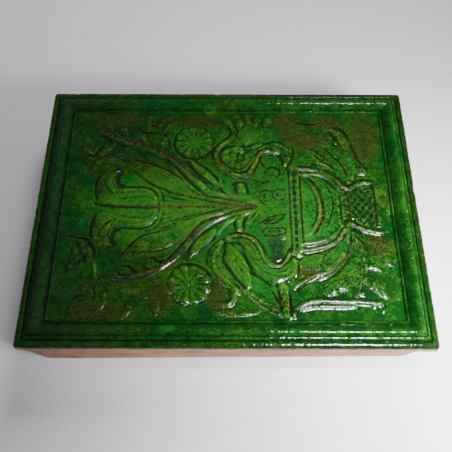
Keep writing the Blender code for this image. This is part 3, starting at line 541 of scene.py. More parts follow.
    def vase(self) -> None:
        """The vase: belly with swag, rope collar, neck and latticed foot."""
        self.lay([(50, 1), (62, 1), (74, 1), (84, 1.5), (93, 2)], (36, 35, 33, 25, 16), 2.2, Cut.FLAT, 0.3)
        self.lay([(97, 3), (108, 3), (116, 3)], (15, 18, 20), 2.4, Cut.FLAT, 0.4)
        for path in (
            [(51, 37.6), (64, 37.4), (70, 36.7), (76, 35.2), (81, 32.6), (86, 29), (90, 25), (94, 20.5),
             (98, 18.9), (103, 21.4), (110, 24.4), (118, 24.6)],
            [(56, 32.2), (66, 32.5), (73, 32.3), (79, 30.4), (83, 27.8), (87, 23.5), (91, 18.8)],
            [(51, -37.5), (64, -36.4), (70, -35), (76, -33.4), (81, -31.4), (86, -27.2), (90, -21.8),
             (93.5, -16.5), (97.5, -13.4), (102, -15.5), (108, -18.8), (121, -21.5)],
            [(56, -31.2), (64, -30.8), (70, -29.7), (76, -27.8), (82, -24.8), (86, -21.5), (91, -15.2)],
        ):
            self.lay(path, (1.3, 1.5, 1.6, 1.5, 1.3), 4.3, Cut.ROUND, 0.3)
        self.line((
            [(51, 39.7), (64.3, 39.7), (69.7, 38.7), (75, 37), (80.3, 34.7), (85.7, 31.3), (89.7, 28),
             (92.3, 24), (95, 21.6), (98, 21.2), (101, 23.3), (105, 26), (110.3, 27), (118.3, 27)],
                     [(60.3, 34.9), (72.3, 34.4), (78.3, 33.1), (83, 30.4), (87.7, 26), (92, 20)],
            [(58.3, -33.6), (67, -32.6), (76.3, -30.4), (83, -27), (88.3, -21), (92.3, -15)],
            [(51, -39.8), (64, -38.6), (76, -35.8), (83, -33), (88.5, -27.5), (92.5, -21)],
            [(90.3, -13), (94.3, -10.9), (98.3, -10.5), (102.3, -14), (108, -16)],
            [(90.7, 14), (90.4, 1), (90.7, -12)], [(94.2, 15), (94, 1), (94.2, -11)],
            [(118, 26), (118.2, 3), (118, -21)], [(95.5, 17), (97, 3), (95.5, -9)],
        ), 1.3, 0.3)
        self.lay([(62, -24), (68, -19.5), (72.3, -10), (73.8, 1), (72.4, 11), (68.8, 20), (62, 27)],
                 (1.1, 1.4, 1.4, 1.1), 3.7, Cut.ROUND, 0.4)
        swag = [(64.5, 28.5), (67.5, 26), (71, 21.5), (73.5, 16), (75, 9), (76, 1.5), (75, -9), (71.5, -15.5),
                (67, -23)]
        self.line(tuple([(x + shift, y) for x, y in swag] for shift in (0.0, 1.1)), 1.3, 0.2)
        self.line((
            [(66, 21), (69.7, 15.5), (71.4, 9), (72, 1), (70.5, -9), (66, -17)],
            [(80, 22), (83.5, 14), (84.5, 4), (82, -8), (78, -17)],
        ), 0.8, 0.4)
        self.redden([(76.5, -4), (75, -10), (71, -18)], 0.9, 0.5)
        for row, x in enumerate((62.0, 66.5, 79.5, 87.0)):
            for k in range(7):
                self.boss(x, 18 - 5.6 * k - 2.8 * (row % 2), 1.0, 1.0, 3.1, trench=0.35)
        for x, y, radius in ((83, 12.7, 2.2), (77.7, 17.3, 1.8), (80, -18, 1.8)):
            self.boss(x, y, radius, radius, 3.6)
        self.lay([(54.6, -38), (54.6, 38)], (4.4, 4.4), 2.6, Cut.FLAT, 0.3)
        self.line(([(50.3, 38), (50.3, 1), (50.3, -38)], [(58.9, 34), (58.9, 1), (58.9, -32)]), 1.1, 0.6)
        # The pits of the rope collar are cut and painted darker: painted shade
        for k in range(12):
            y = 32.0 - 5.9 * k
            self.score([(54.0, y - 1.0), (54.0, y + 1.0)], (2.4, 2.4), -2.2)
            self.darken([(54.0, y - 0.8), (54.0, y + 0.8)], 2.1, 1.2)
        for x in (51.2, 57.6):
            self.redden([(x, 28), (x, -28)], 0.8, 0.5)

    def lattice(self) -> None:
        """Thin crossed bars over dark lozenge pits in the foot of the vase."""
        inside = (self.gx > 96.5) & (self.gx < 117) & (np.abs(self.gy - 3) < 13.0 + 0.22 * (self.gx - 95))
        a = np.abs(2.0 * ((self.gx / 5.8 + self.gy / 7.4 - 0.26) % 1.0) - 1.0)
        b = np.abs(2.0 * ((self.gx / 5.8 - self.gy / 7.4 - 0.02) % 1.0) - 1.0)
        pit = np.clip(2.1 - 2.1 * np.maximum(a, b), 0.0, 1.0)
        self.z = np.where(inside, self.z + 0.1 - 1.9 * pit, self.z)
        # The pits are painted dark, partly glaze filling them and partly painted shade
        self.ink = np.where(inside, 0.8 * pit, self.ink)
        self.tone = np.where(inside, self.tone + 0.7 * pit, self.tone)

    def handles(self) -> None:
        """Leaves that spring from the neck of the vase to both long sides and the corners."""
        low_in = [(54, -41), (64, -40), (74, -38), (83, -33), (90, -26), (94, -18)]
        low_out = [(50, -68), (62, -63), (73, -58.5), (84, -51.5), (91, -43), (95, -30)]
        self.lay(between(low_in, low_out, 0.5), (4, 11, 11.5, 9, 6, 3), 1.9, Cut.FLAT, 0.3)
        self.lay([(66, -56), (70, -48), (75, -41), (83, -33.5),
                  (90, -26)], (1.2, 1.6, 1.6, 1.4), 2.8, trench=0.4)
        self.lay([(95, -18), (94.3, -25), (92.6, -32.3), (89.8, -39), (85, -45.5), (76, -53), (64, -58.5),
                  (51, -67)],
                 (1.4, 2.0, 2.4, 2.4, 2.2, 1.8, 1.2), 3.4, Cut.ROUND, 0.4)
        self.lay([(98, -22), (101, -33), (101, -45), (96, -56), (86, -64), (76, -71)],
                 (2, 5, 7, 7.5, 6.5, 4), 2.0, Cut.SOFT, 0.4)
        for path, widths, height in (
            ([(100, -27), (104, -38), (104, -52), (99, -64), (96, -75)], (1.2, 2.0, 2.2, 2.2, 1.2), 2.8),
            ([(105, -60), (112, -66), (118, -74)], (3, 5, 2), 2.2),
            ([(106, -50.5), (112, -50.5), (116, -53)], (1.2, 1.8, 1.0), 2.8),
            ([(113, -28), (119, -36), (124, -48)], (2.4, 4.4, 2.0), 1.8),
            ([(96, -52), (90, -60), (82, -64)], (1.5, 2.4, 1.5), 2.4),
            ([(57, -50.5), (63, -51.5), (70, -52)], (1.2, 1.8, 1.2), 2.8),
            ([(112, 40), (118, 52), (120, 66), (116, 80)], (2.0, 5.0, 5.4, 2.5), 1.6),
        ):
            self.lay(path, widths, height, Cut.SOFT, 0.4)
        self.lay([(49, -90), (49.4, -87.7), (51.7, -83.7), (57, -80.3), (63.7, -78.3), (71, -77.4),
                  (88, -78.2), (104, -78.6), (114, -80)],
                 (1.4, 1.5, 1.6, 1.6, 1.5, 1.0), 3.9, Cut.ROUND, 0.6)
        self.lay([(55, -84.5), (60.3, -82.5), (67, -81.7), (78, -81.7),
                  (95, -81.6)], (0.9, 1.2, 1.2, 0.8), 3.2, Cut.ROUND, 0.6)
        for x, y, radius in ((80, -69.5, 3.0), (101, -71.5, 2.4), (81.5, -37, 1.6), (113, -78.7, 1.8),
                             (109, -81.5, 1.6), (115, -85, 1.8), (97, -52, 1.8), (127, -75, 1.6)):
            self.boss(x, y, radius, radius * 0.8, 3.2)
        high_in = [(54, 44), (65, 45), (75, 43), (84, 38), (91, 31), (97, 22)]
        high_out = [(52, 76), (62, 73), (74, 68), (85, 60), (93, 49), (98, 34)]
        self.lay(between(high_in, high_out, 0.5), (8, 14, 14, 11, 8, 3.5), 1.7, Cut.FLAT, 0.3)
        self.lay([(98, 22), (98, 32), (92, 46), (84, 57), (74, 64), (62, 68), (52, 74)],
                 (1.4, 2.0, 2.4, 2.4, 2.2, 1.8, 1.2), 2.6, Cut.SOFT, 0.4)
        self.lay([(66, 56), (72, 50), (77, 44), (86, 38)], (1.2, 1.6, 1.6, 1.0), 2.6, trench=0.3)
        self.lay([(100, 24), (102, 36), (100, 50), (97, 62), (92, 74), (82, 80)],
                 (1.6, 4.0, 4.4, 4.0, 3.6, 2.4), 2.4, Cut.FLAT, 0.4)
        self.lay([(106.5, 36.5), (110, 37), (113, 35.5), (112, 33), (107, 33.5)],
                 (1.1, 1.4, 1.2), 3.6, trench=0.4)
        for x, y, radius in ((78.3, 71.3, 2.2), (82.3, 68.7, 2.0), (91, 64, 2.0), (101, 52, 1.4),
                             (67.7, 43.3, 1.4)):
            self.boss(x, y, radius, radius, 3.0, trench=0.3)
        self.line((
            [(51.7, 92.7), (53.7, 88.7), (57, 86), (67, 83), (72.3, 83), (81, 84.3), (85.7, 83.3),
             (91.7, 83)],
            [(92.3, 80.7), (97, 77.3), (100.3, 72.7), (103, 66.7), (104.7, 60), (106.3, 53.3), (108.3, 47.3),
             (111.7, 42), (115, 36.7)],
            [(85, 75.3), (88.3, 72), (91.7, 67.3), (94.3, 62), (96, 57.3), (96.7, 53.3)],
                    [(88.3, 49.3), (93.7, 42.7), (96.3, 36.7), (98.3, 30)],
            [(60.3, 78), (64.3, 76.7), (67.7, 74.7), (72.3, 71.3)], [(61.7, 69.3), (67, 67.3), (73, 65.3),
                                                                     (75.7, 63.7)],
            [(72.3, 52), (75, 48), (79, 44), (84.3, 41.3), (88.3, 37.3)],
            [(96.3, -21.7), (95.3, -29.7), (93, -37), (90.3, -43), (86.3, -47.7), (81.7, -52.3),
             (76.3, -56.3), (71, -58.3), (64.3, -61), (57, -65.7), (51, -69.7)],
        ), 1.4, 0.4)
        self.line((
            [(93.7, -41.7), (88.3, -49.7), (81.7, -56.3), (75, -60.3), (68.3, -63)],
            [(85.7, -29.7), (81.7, -34.3), (76.3, -39), (73, -44.3), (71, -49.7)],
            [(78, 60), (84, 55), (88, 49)], [(62, 60), (70, 57), (78, 51), (84, 45)],
            [(97, -22), (102, -26), (105, -30), (108, -36)], [(104, -45), (104, -52), (102, -62)],
            [(66, 46), (70, 42.5), (74, 40.5)], [(84, 79), (90, 79), (94, 76)],
            [(96, -13), (99, -18), (104, -22)],
        ), 0.9, 0.4)

    def vase_mouth(self) -> None:
        """Small forms between the mouth of the vase and the focal point."""
        self.lay([(26, 1), (38, 1), (49, 1)], (9, 15, 15), 1.8, Cut.FLAT, 0.4)
        for path in ([(27, 15), (31, 16.5), (36, 14.5), (40, 16.8), (46, 15), (51, 15)],
                     [(27.5, -15), (34, -16.5), (42, -15.5), (50, -15)]):
            self.lay(path, (1.0, 1.4, 1.4, 1.0), 3.0, Cut.ROUND, 0.3)
        # Two small coiled rings, and under them two long closed leaves
        for cx, cy in ((31.5, 11.8), (42.0, 13.0)):
            self.boss(cx, cy, 4.8, 4.0, 3.6, 8.0, 0.4, 1.2)
            self.line((arc(cx, cy, 5.0, 0, 360, 17), arc(cx, cy, 2.2, 0, 360, 13)), 0.8, 0.6)
            # The eye of each ring is painted darker: painted shade
            self.darken([(cx - 1.8, cy - 0.5), (cx - 1.8, cy + 0.5)], 1.8, 0.9)
        for path in ([(27.5, -12), (33, -8.4), (40, -6.4), (46, -5.4), (42.5, -9.8), (37, -13), (31, -14),
                      (27.5, -12)],
                     [(28, -21), (30, -18), (37, -17.2), (44, -17.4), (46, -20), (43.5, -23), (36, -24.2),
                      (30, -23.8), (28, -21)]):
            self.line((path,), 1.0, 0.8)
        # The insides of the closed leaves are painted darker
        self.darken([(31, -11.5), (38, -9.5)], 2.4, 0.8)
        self.darken([(32, -21), (41, -20.2)], 2.4, 0.8)
        self.boss(36, 20.5, 6.5, 3.2, 2.6, 0.0, 0.4)
        self.boss(37, 33, 6, 5, 2.2, 0.0, 0.5)
        self.line((
            [(29.8, 2), (40, 1.4), (50.3, 1.2)], [(26, 16), (35, 17), (44, 17.5), (50, 16.5)],
            [(24, 27), (32, 26), (42, 27.5), (48, 24)],
        ), 0.6, 0.4)

    def sprigs(self) -> None:
        """Sprigs, berries and small leaves in the corners and beyond the stems."""
        self.lay([(-95, 64), (-99, 56), (-103, 47), (-109, 39)], (2.0, 2.0, 1.8, 1.2), 2.0, Cut.SOFT, 0.4)
        self.lay([(-99, -60), (-101, -48), (-105, -38), (-113, -30), (-123, -26)],
                 (1.4, 1.8, 1.8, 1.6, 1.2), 2.2, Cut.SOFT, 0.4)
        leaves = (
            (-101, 60, -112, 46, 3.6), (-107, 45, -118, 31, 3.2), (-112, 47, -124, 50, 2.6),
            (-112, 52, -124, 64, 2.4), (-113, 62, -123, 76, 2.4), (-97, 47, -80, 48, 3.0),
            (-102, 45, -85, 41, 3.2), (-112, -31, -106, -47, 4.0), (-117, -34, -120, -51, 4.4),
            (-78, -70, -60, -75, 2.8), (-90, -72, -99, -88, 2.8), (-72, -77, -76, -91, 3.0),
            (-58, -70, -52, -89, 2.8), (-54, -62, -42, -80, 2.4), (-67, 78, -66, 91, 3.0),
            (-60, 78, -46, 90, 3.4), (-54, 74, -43, 86, 2.4), (-90, 68, -103, 84, 3.2),
            (-84, 68, -88, 88, 3.2), (-62, 58, -72, 72, 2.6), (-55, 56, -49, 72, 2.6),
        )
        bow = 0.12
        for x0, y0, x1, y1, width in leaves:
            middle = (0.5 * (x0 + x1) - bow * (y1 - y0), 0.5 * (y0 + y1) + bow * (x1 - x0))
            self.lay([(x0, y0), middle, (x1, y1)], (1.4, width, 1.2), 2.4, Cut.SOFT, 0.9)
            self.line(([(x0, y0), middle, (x1, y1)],), 0.6, 0.3)
        self.line((
            [(-75.8, 79), (-72.7, 75.4), (-68, 73.8), (-63.5, 73.5), (-58, 73.5)], [(-61, 86), (-59.5, 82),
                                                                                    (-58.8, 77.7)],
            [(-54, 84.6), (-50, 87.5), (-45, 89.2)], [(-54.2, 73), (-52, 70.4), (-49.6, 65.4), (-47.7, 60)],
            [(-115, 51.5), (-111, 49.2), (-108.8, 53.8), (-106.5, 57), (-104.2, 59.2)],
                    [(-106.5, 47), (-101.2, 50), (-98, 53.8)],
            [(-108.8, 43), (-112, 37), (-115.8, 31)],
            [(-62, -43.5), (-55.8, -43), (-53.5, -45.8), (-47.3, -45.4), (-42.7, -42)],
            [(-91.2, -43.5), (-88.5, -46), (-85.8, -48)], [(-81.2, -50), (-74.2, -50), (-71.2, -53.5),
                                                           (-67.3, -55)],
            [(-82.7, -52.7), (-81.2, -56.5), (-76.5, -57.3), (-68.8, -56.2)],
            [(-62.7, -49.6), (-59.6, -53), (-54.2, -52)],
            [(-123.5, -23.5), (-119.6, -25.8), (-112, -26.5), (-108, -28), (-104.2, -33.5), (-102, -39.6),
             (-101.2, -48)],
            [(-116, -29), (-115, -33), (-116.5, -37)], [(-108, -32), (-107.5, -39), (-110, -46)],
            [(-70, 78), (-65, 80.5), (-58, 81)],
        ), 1.0, 0.4)
        self.line((
            arc(-108, -82, 8, 60, 150), arc(-108, -82, 4.5, 60, 150), [(-100, -66), (-98, -74), (-101, -83)],
        ), 0.8, 0.5)
        berries = ((-107, 67), (-84.5, 57.5), (-72.5, 47.5), (-71, 54), (-107.7, -57.5), (-100, -64),
                   (-108.3, -67.5), (-120.5, -82), (-115, -85), (-91, -73.5), (-87, -71.5), (-111, -49),
                   (-60, -49.5), (-67, -52.5))
        for x, y in berries:
            self.boss(x, y, 1.9, 1.9, 2.4, trench=0.4)

    def carve(self) -> None:
        """Lay every form in its order, then soften the whole as pressed clay under glaze."""
        for step in (self.vase_mouth, self.sprigs, self.fan, self.lily, self.stems, self.focal_leaves,
                     self.rosettes, self.handles, self.vase, self.lattice, self.near_scroll, self.far_scroll):
            step()
        self.z = self.relief * blurred(np.clip(self.z, -1.4, None), 2)
        edge = np.minimum(0.5 * self.length - np.abs(self.gx * self.stretch + self.shift[0]),
                          0.5 * self.width - np.abs(self.gy + self.shift[1]))
        self.z *= np.clip(edge / 2.0, 0.0, 1.0)

    def pooling_and_slope_shade(self) -> np.ndarray:
        """Depth of a point below its surroundings, where glaze gathers; negative on crests. Steep slopes add
        painted shade to it.
        """
        drawn = self.z / self.relief
        close = blurred(drawn, 6) - drawn
        wide = blurred(drawn, 40) - drawn
        slope = np.hypot(*np.gradient(drawn, self.length / self.nx))
        # The slope term is painted shade: steep slopes are darkened
        return np.maximum(0.85 * close + 0.12 * wide, -0.65) + 0.10 * slope + 0.70 * self.ink


def bumps(run: np.ndarray, pitch: float, seed: int) -> np.ndarray:
    """Repeatable random heights from 0 to 1 along a line.

    Args:
        run: Places along the line in millimetres.
        pitch: Distance between the random heights.
        seed: Which set of heights.

    Returns:
        The height at each place.
    """
    table = np.random.default_rng(seed).random(1024)
    return np.interp(np.mod(run / pitch, 1023.0), np.arange(1024), table)


@dataclass
class TileSizes:
    """The tile's own sizes in metres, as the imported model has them."""

    length: float = 0.300
    width: float = 0.230
    corner: float = 0.003
    ground: float = 0.0415
    back: float = 0.036
    frame: float = 0.0215
    crest: float = 0.0045
    joint_inset: float = 0.0015
    rim_inset: float = 0.0072
    rim_corner: float = 0.012
    collar_wall: float = 0.008
    luting: float = 0.004


# Frame section: share of the frame width from the outer edge, share of the crest height
FRAME_SECTION = (
    (0.000, -0.200), (0.006, 0.020), (0.016, 0.150), (0.040, 0.280), (0.070, 0.360), (0.140, 0.410),
    (0.210, 0.420), (0.240, 0.360), (0.265, 0.250), (0.300, 0.460), (0.345, 0.620), (0.405, 0.560),
    (0.450, 0.780), (0.490, 0.930), (0.550, 1.000), (0.620, 0.920), (0.690, 0.700), (0.770, 0.450),
    (0.830, 0.220), (0.895, 0.050), (0.925, 0.180), (0.950, 0.270), (0.975, 0.150), (1.000, -0.060),
)

# Where iron has stained the glaze: middle and half sizes in millimetres on the face
OCHRE_STAINS = (
    (-92, 87, 32, 12), (-25, 84, 26, 10), (48, 82, 12, 22), (64, 66, 24, 13), (114, 66, 16, 34),
    (-95, -87, 34, 10), (-48, -75, 16, 18), (-7, -74, 9, 18), (116, -33, 14, 14), (62, -57, 12, 8),
    (124, 8, 8, 10), (86, 84, 18, 8),
)

# Where the glaze lies thinner and brighter, with how much
THIN_GLAZE = (
    (-35, 0, 75, 34, 1.20), (-80, 0, 34, 30, 0.25), (45, -10, 50, 60, 0.52), (75, 0, 40, 34, 0.18),
    (20, 55, 40, 30, 0.34), (95, -75, 60, 40, -0.10), (123, 9, 5, 8, 0.9), (-30, 64, 18, 18, 0.45),
    (-30, -64, 20, 20, 0.40), (20, -50, 40, 30, 0.58), (85, 40, 40, 30, 0.15), (-105, -5, 20, 50, 0.12),
    (80, -45, 20, 20, 0.25), (-15, 96, 5, 3, 2.0), (-42, -100, 6, 3, 2.0), (134, 0, 9, 7, 0.6),
)


def linear(hex_colour: str) -> tuple[float, float, float, float]:
    """sRGB hex colour as linear values.

    Args:
        hex_colour: Six hex digits after a hash sign.

    Returns:
        Red, green, blue and alpha for a shader.
    """
    out = []
    for k in (1, 3, 5):
        c = int(hex_colour[k:k + 2], 16) / 255.0
        out.append(c / 12.92 if c <= 0.04045 else ((c + 0.055) / 1.055) ** 2.4)
    return out[0], out[1], out[2], 1.0


def add_node(tree: bpy.types.NodeTree, kind: str, inputs: dict[str | int, object] | None = None,
             output: str | int = 0, **settings: object) -> bpy.types.NodeSocket:
    """Add a shader node with its settings and links.

    Args:
        tree: The node tree.
        kind: Blender's name of the node type.
        inputs: Values for its sockets, or output sockets to link to them.
        output: Which of its outputs is wanted.
        **settings: Properties of the node.

    Returns:
        The wanted output socket.
    """
    node = tree.nodes.new(kind)
    for key, value in settings.items():
        setattr(node, key, value)
    for key, value in (inputs or {}).items():
        if isinstance(value, bpy.types.NodeSocket):
            tree.links.new(value, node.inputs[key])
        else:
            node.inputs[key].default_value = value
    return node.outputs[output]


@dataclass(frozen=True)
class Grain:
    """Cloudiness of a surface: the size of its patches in millimetres and how hard their edges are."""

    name: str
    size: float
    detail: float = 3.0
    roughness: float = 0.6
    low: float = 0.34
    high: float = 0.66


@dataclass(frozen=True)
class Layer:
    """A colour that comes in where a weighted sum of fields rises through a range."""

    fields: tuple[tuple[str, float], ...]
    low: float
    high: float
    strength: float
    colour: tuple[float, float, float, float]
    blend: str = "MIX"


def clouds(tree: bpy.types.NodeTree, vector: bpy.types.NodeSocket,
           grains: tuple[Grain, ...]) -> dict[str, bpy.types.NodeSocket]:
    """Noises of several sizes, each from -0.5 to 0.5.

    Args:
        tree: The node tree.
        vector: Coordinates in metres.
        grains: The noises wanted.

    Returns:
        Their sockets by name.
    """
    out = {}
    for g in grains:
        raw = add_node(tree, "ShaderNodeTexNoise", {"Vector": vector, "Scale": 1000.0 / g.size,
                                                    "Detail": g.detail, "Roughness": g.roughness}, "Fac")
        out[g.name] = add_node(tree, "ShaderNodeMapRange", {0: raw, 1: g.low, 2: g.high, 3: -0.5, 4: 0.5},
                               interpolation_type="SMOOTHSTEP")
    return out


def summed(tree: bpy.types.NodeTree, at: dict[str, bpy.types.NodeSocket],
           fields: tuple[tuple[str, float], ...]) -> bpy.types.NodeSocket:
    """Add up fields, each times its weight.

    Args:
        tree: The node tree.
        at: Sockets of the fields by name.
        fields: Names and weights.

    Returns:
        The socket of the sum.
    """
    total: object = 0.0
    for name, weight in fields:
        total = add_node(tree, "ShaderNodeMath", {0: at[name], 1: weight, 2: total}, operation="MULTIPLY_ADD")
    return total


def layered(tree: bpy.types.NodeTree, base: tuple[float, float, float, float],
            at: dict[str, bpy.types.NodeSocket], layers: tuple[Layer, ...]) -> bpy.types.NodeSocket:
    """Lay colours over a base one after another.

    Args:
        tree: The node tree.
        base: The lowest colour.
        at: Sockets of the fields by name.
        layers: The layers from the lowest to the highest.

    Returns:
        The socket of the resulting colour.
    """
    colour: object = base
    for layer in layers:
        share = add_node(tree, "ShaderNodeMapRange", {0: summed(tree, at, layer.fields), 1: layer.low,
                                                      2: layer.high, 3: 0.0, 4: layer.strength},
                         interpolation_type="SMOOTHSTEP")
        colour = add_node(tree, "ShaderNodeMix", {0: share, 6: colour, 7: layer.colour}, 2, data_type="RGBA",
                          blend_type=layer.blend)
    return colour


def new_material(name: str) -> tuple[bpy.types.Material, bpy.types.NodeTree, bpy.types.NodeSocket]:
    """Start a material and return it with its node tree and the object's own coordinates."""
    material = bpy.data.materials.new(name)
    material.use_nodes = True
    return material, material.node_tree, add_node(material.node_tree, "ShaderNodeTexCoord", output="Object")


def set_surface(tree: bpy.types.NodeTree, colour: bpy.types.NodeSocket, roughness: float,
                height: bpy.types.NodeSocket | None = None, bumpiness: float = 0.5) -> bpy.types.Node:
    """Give a material's shader its colour, roughness and fine relief.

    Args:
        tree: The node tree.
        colour: Socket of the colour.
        roughness: How matt it is.
        height: Socket of the fine relief, if it has any.
        bumpiness: How strongly the relief shows.

    Returns:
        The shader.
    """
    shader = tree.nodes["Principled BSDF"]
    tree.links.new(colour, shader.inputs["Base Color"])
    shader.inputs["Roughness"].default_value = roughness
    if height is not None:
        bump = add_node(tree, "ShaderNodeBump", {"Strength": bumpiness, "Distance": 0.0005, "Height": height},
                        "Normal")
        tree.links.new(bump, shader.inputs["Normal"])
    return shader


@dataclass(frozen=True)
class GreenLeadGlaze:
    """Copper-green lead glaze, poured over red earthenware and fired glossy.

    It is dark where it pools in the cuts, thin and yellowish on the crests and olive where iron
    from the clay has bled into it. Fine streaks follow the tool marks of the mould. Shade and light
    are painted into its colour as well: darker on steep slopes, in hollows and pits, and across the tile.
    """

    name: str = "green_lead_glaze"
    deep: str = "#0b2a0c"
    cool: str = "#17621c"
    warm: str = "#367218"
    thin: str = "#7aa83c"
    teal: str = "#14231b"
    olive: str = "#26340e"
    rust: str = "#6e4a22"
    roughness: float = 0.11
    ior: float = 1.55

    def make(self) -> bpy.types.Material:
        """Build the material and return it."""
        material, tree, place = new_material(self.name)
        at = {name: add_node(tree, "ShaderNodeAttribute", output="Fac", attribute_name=name)
              for name in ("pool_and_slope_shade", "ochre", "thin_glaze_and_painted_light", "rust", "tone", "pitted", "carved")}
        # Patches of the poured glaze about 30 mm wide, clouds of 9 mm, blots of 4 mm, specks of 1.2 mm
        at |= clouds(tree, place, (Grain("patch", 31.0, low=0.36, high=0.62), Grain("cloud", 9.0, 4.0),
                                   Grain("blot", 4.0, 2.0), Grain("speck", 1.2, 2.0, 0.6, 0.30, 0.70),
                                   Grain("ripple", 5.0, 2.0, 0.5)))
        # Tool marks run along each leaf, in coordinates counted in their own lengths and widths
        run = add_node(tree, "ShaderNodeAttribute", output="Vector", attribute_name="grain")
        at |= clouds(tree, run, (Grain("tooled", 1000.0, 2.0),))
        for name, field_a, field_b in (("marks", "tooled", "carved"), ("worn", "pitted", "blot")):
            product = {0: at[field_a], 1: at[field_b]}
            at[name] = add_node(tree, "ShaderNodeMath", product, operation="MULTIPLY")
        colour = layered(tree, linear(self.cool), at, (
            Layer((("patch", 1.0),), -0.7, 0.7, 0.6, linear(self.warm)),
            Layer((("pool_and_slope_shade", -0.8), ("marks", 1.0)), 0.25, 1.40, 0.85, linear(self.thin)),
            # Dark where the glaze pools in the cuts, plus painted shade on steep slopes
            Layer((("pool_and_slope_shade", 1.0), ("marks", -0.25)), 0.06, 0.92, 0.92, linear(self.deep)),
            # Painted shade and light: darker where the thin glaze and painted light field is low
            Layer((("thin_glaze_and_painted_light", -1.0), ("cloud", -0.28), ("marks", -0.30)), -1.0, 0.34, 1.0,
                  (0.15, 0.19, 0.22, 1.0), "MULTIPLY"),
            # Dark bluish glaze, and painted shade in hollows, pits and on the left frame
            Layer((("tone", 1.0), ("cloud", 0.5)), 0.10, 1.0, 0.9, linear(self.teal)),
            Layer((("ochre", 1.0), ("cloud", 0.4), ("blot", 0.3)), 0.10, 0.85, 0.90, linear(self.olive)),
            Layer((("rust", 1.0), ("marks", 0.5)), 0.05, 0.85, 0.60, linear(self.rust)),
            Layer((("speck", -1.0), ("blot", -0.5)), -0.5, 0.6, 1.0, (0.50, 0.50, 0.48, 1.0), "MULTIPLY"),
            Layer((("worn", 1.6), ("speck", 0.4)), 0.35, 0.95, 0.45, linear(self.thin)),
        ))
        # The glaze lies over the marks and still ripples with them; the rim is pitted and worn
        height = summed(tree, at, (("marks", 0.12), ("ripple", 0.40), ("worn", 0.7)))
        set_surface(tree, colour, self.roughness, height).inputs["IOR"].default_value = self.ior
        return material


@dataclass(frozen=True)
class BareTerracotta:
    """Unglazed red earthenware, shaped by hand and fired, dusty and matt."""

    name: str = "bare_terracotta"
    body: str = "#bd8870"
    sooty: str = "#83645a"
    roughness: float = 0.88
    grit: float = 0.9

    def make(self) -> bpy.types.Material:
        """Build the material and return it."""
        material, tree, place = new_material(self.name)
        # Smoky clouds of 22 mm from the kiln and the stove, and the grit of the clay
        at = clouds(tree, place, (Grain("smoke", 22.0, 5.0, 0.6, 0.35, 0.75), Grain("grit", self.grit)))
        colour = layered(tree, linear(self.body), at, (
            Layer((("smoke", 1.0),), -0.5, 0.5, 0.9, linear(self.sooty)),
            Layer((("grit", 1.0),), -0.5, 0.5, 0.8, (0.74, 0.72, 0.70, 1.0), "MULTIPLY"),
        ))
        set_surface(tree, colour, self.roughness, at["grit"], 0.6)
        return material


@dataclass(frozen=True)
class TableTop:
    """Plain pale painted board, matt."""

    name: str = "pale_table"
    colour: str = "#dedee2"
    roughness: float = 0.75

    def make(self) -> bpy.types.Material:
        """Build the material and return it."""
        material, tree, place = new_material(self.name)
        # The paint is faintly grained, in specks under 2 mm
        at = clouds(tree, place, (Grain("paint", 1.7),))
        colour = layered(tree, linear(self.colour), at, (
            Layer((("paint", 1.0),), -0.5, 0.5, 1.0, (0.90, 0.90, 0.90, 1.0), "MULTIPLY"),
        ))
        set_surface(tree, colour, self.roughness)
        return material


def vertex_places(mesh: bpy.types.Mesh) -> np.ndarray:
    """Places of a mesh's vertices in metres, a row each."""
    co = np.empty(len(mesh.vertices) * 3)
    mesh.vertices.foreach_get("co", co)
    return co.reshape(-1, 3)


def deselect_everything() -> None:
    """Leave nothing selected, as the operators act on all that is."""
    if bpy.context.object and bpy.context.object.mode != "OBJECT":
        bpy.ops.object.mode_set(mode="OBJECT")
    bpy.ops.object.select_all(action="DESELECT")


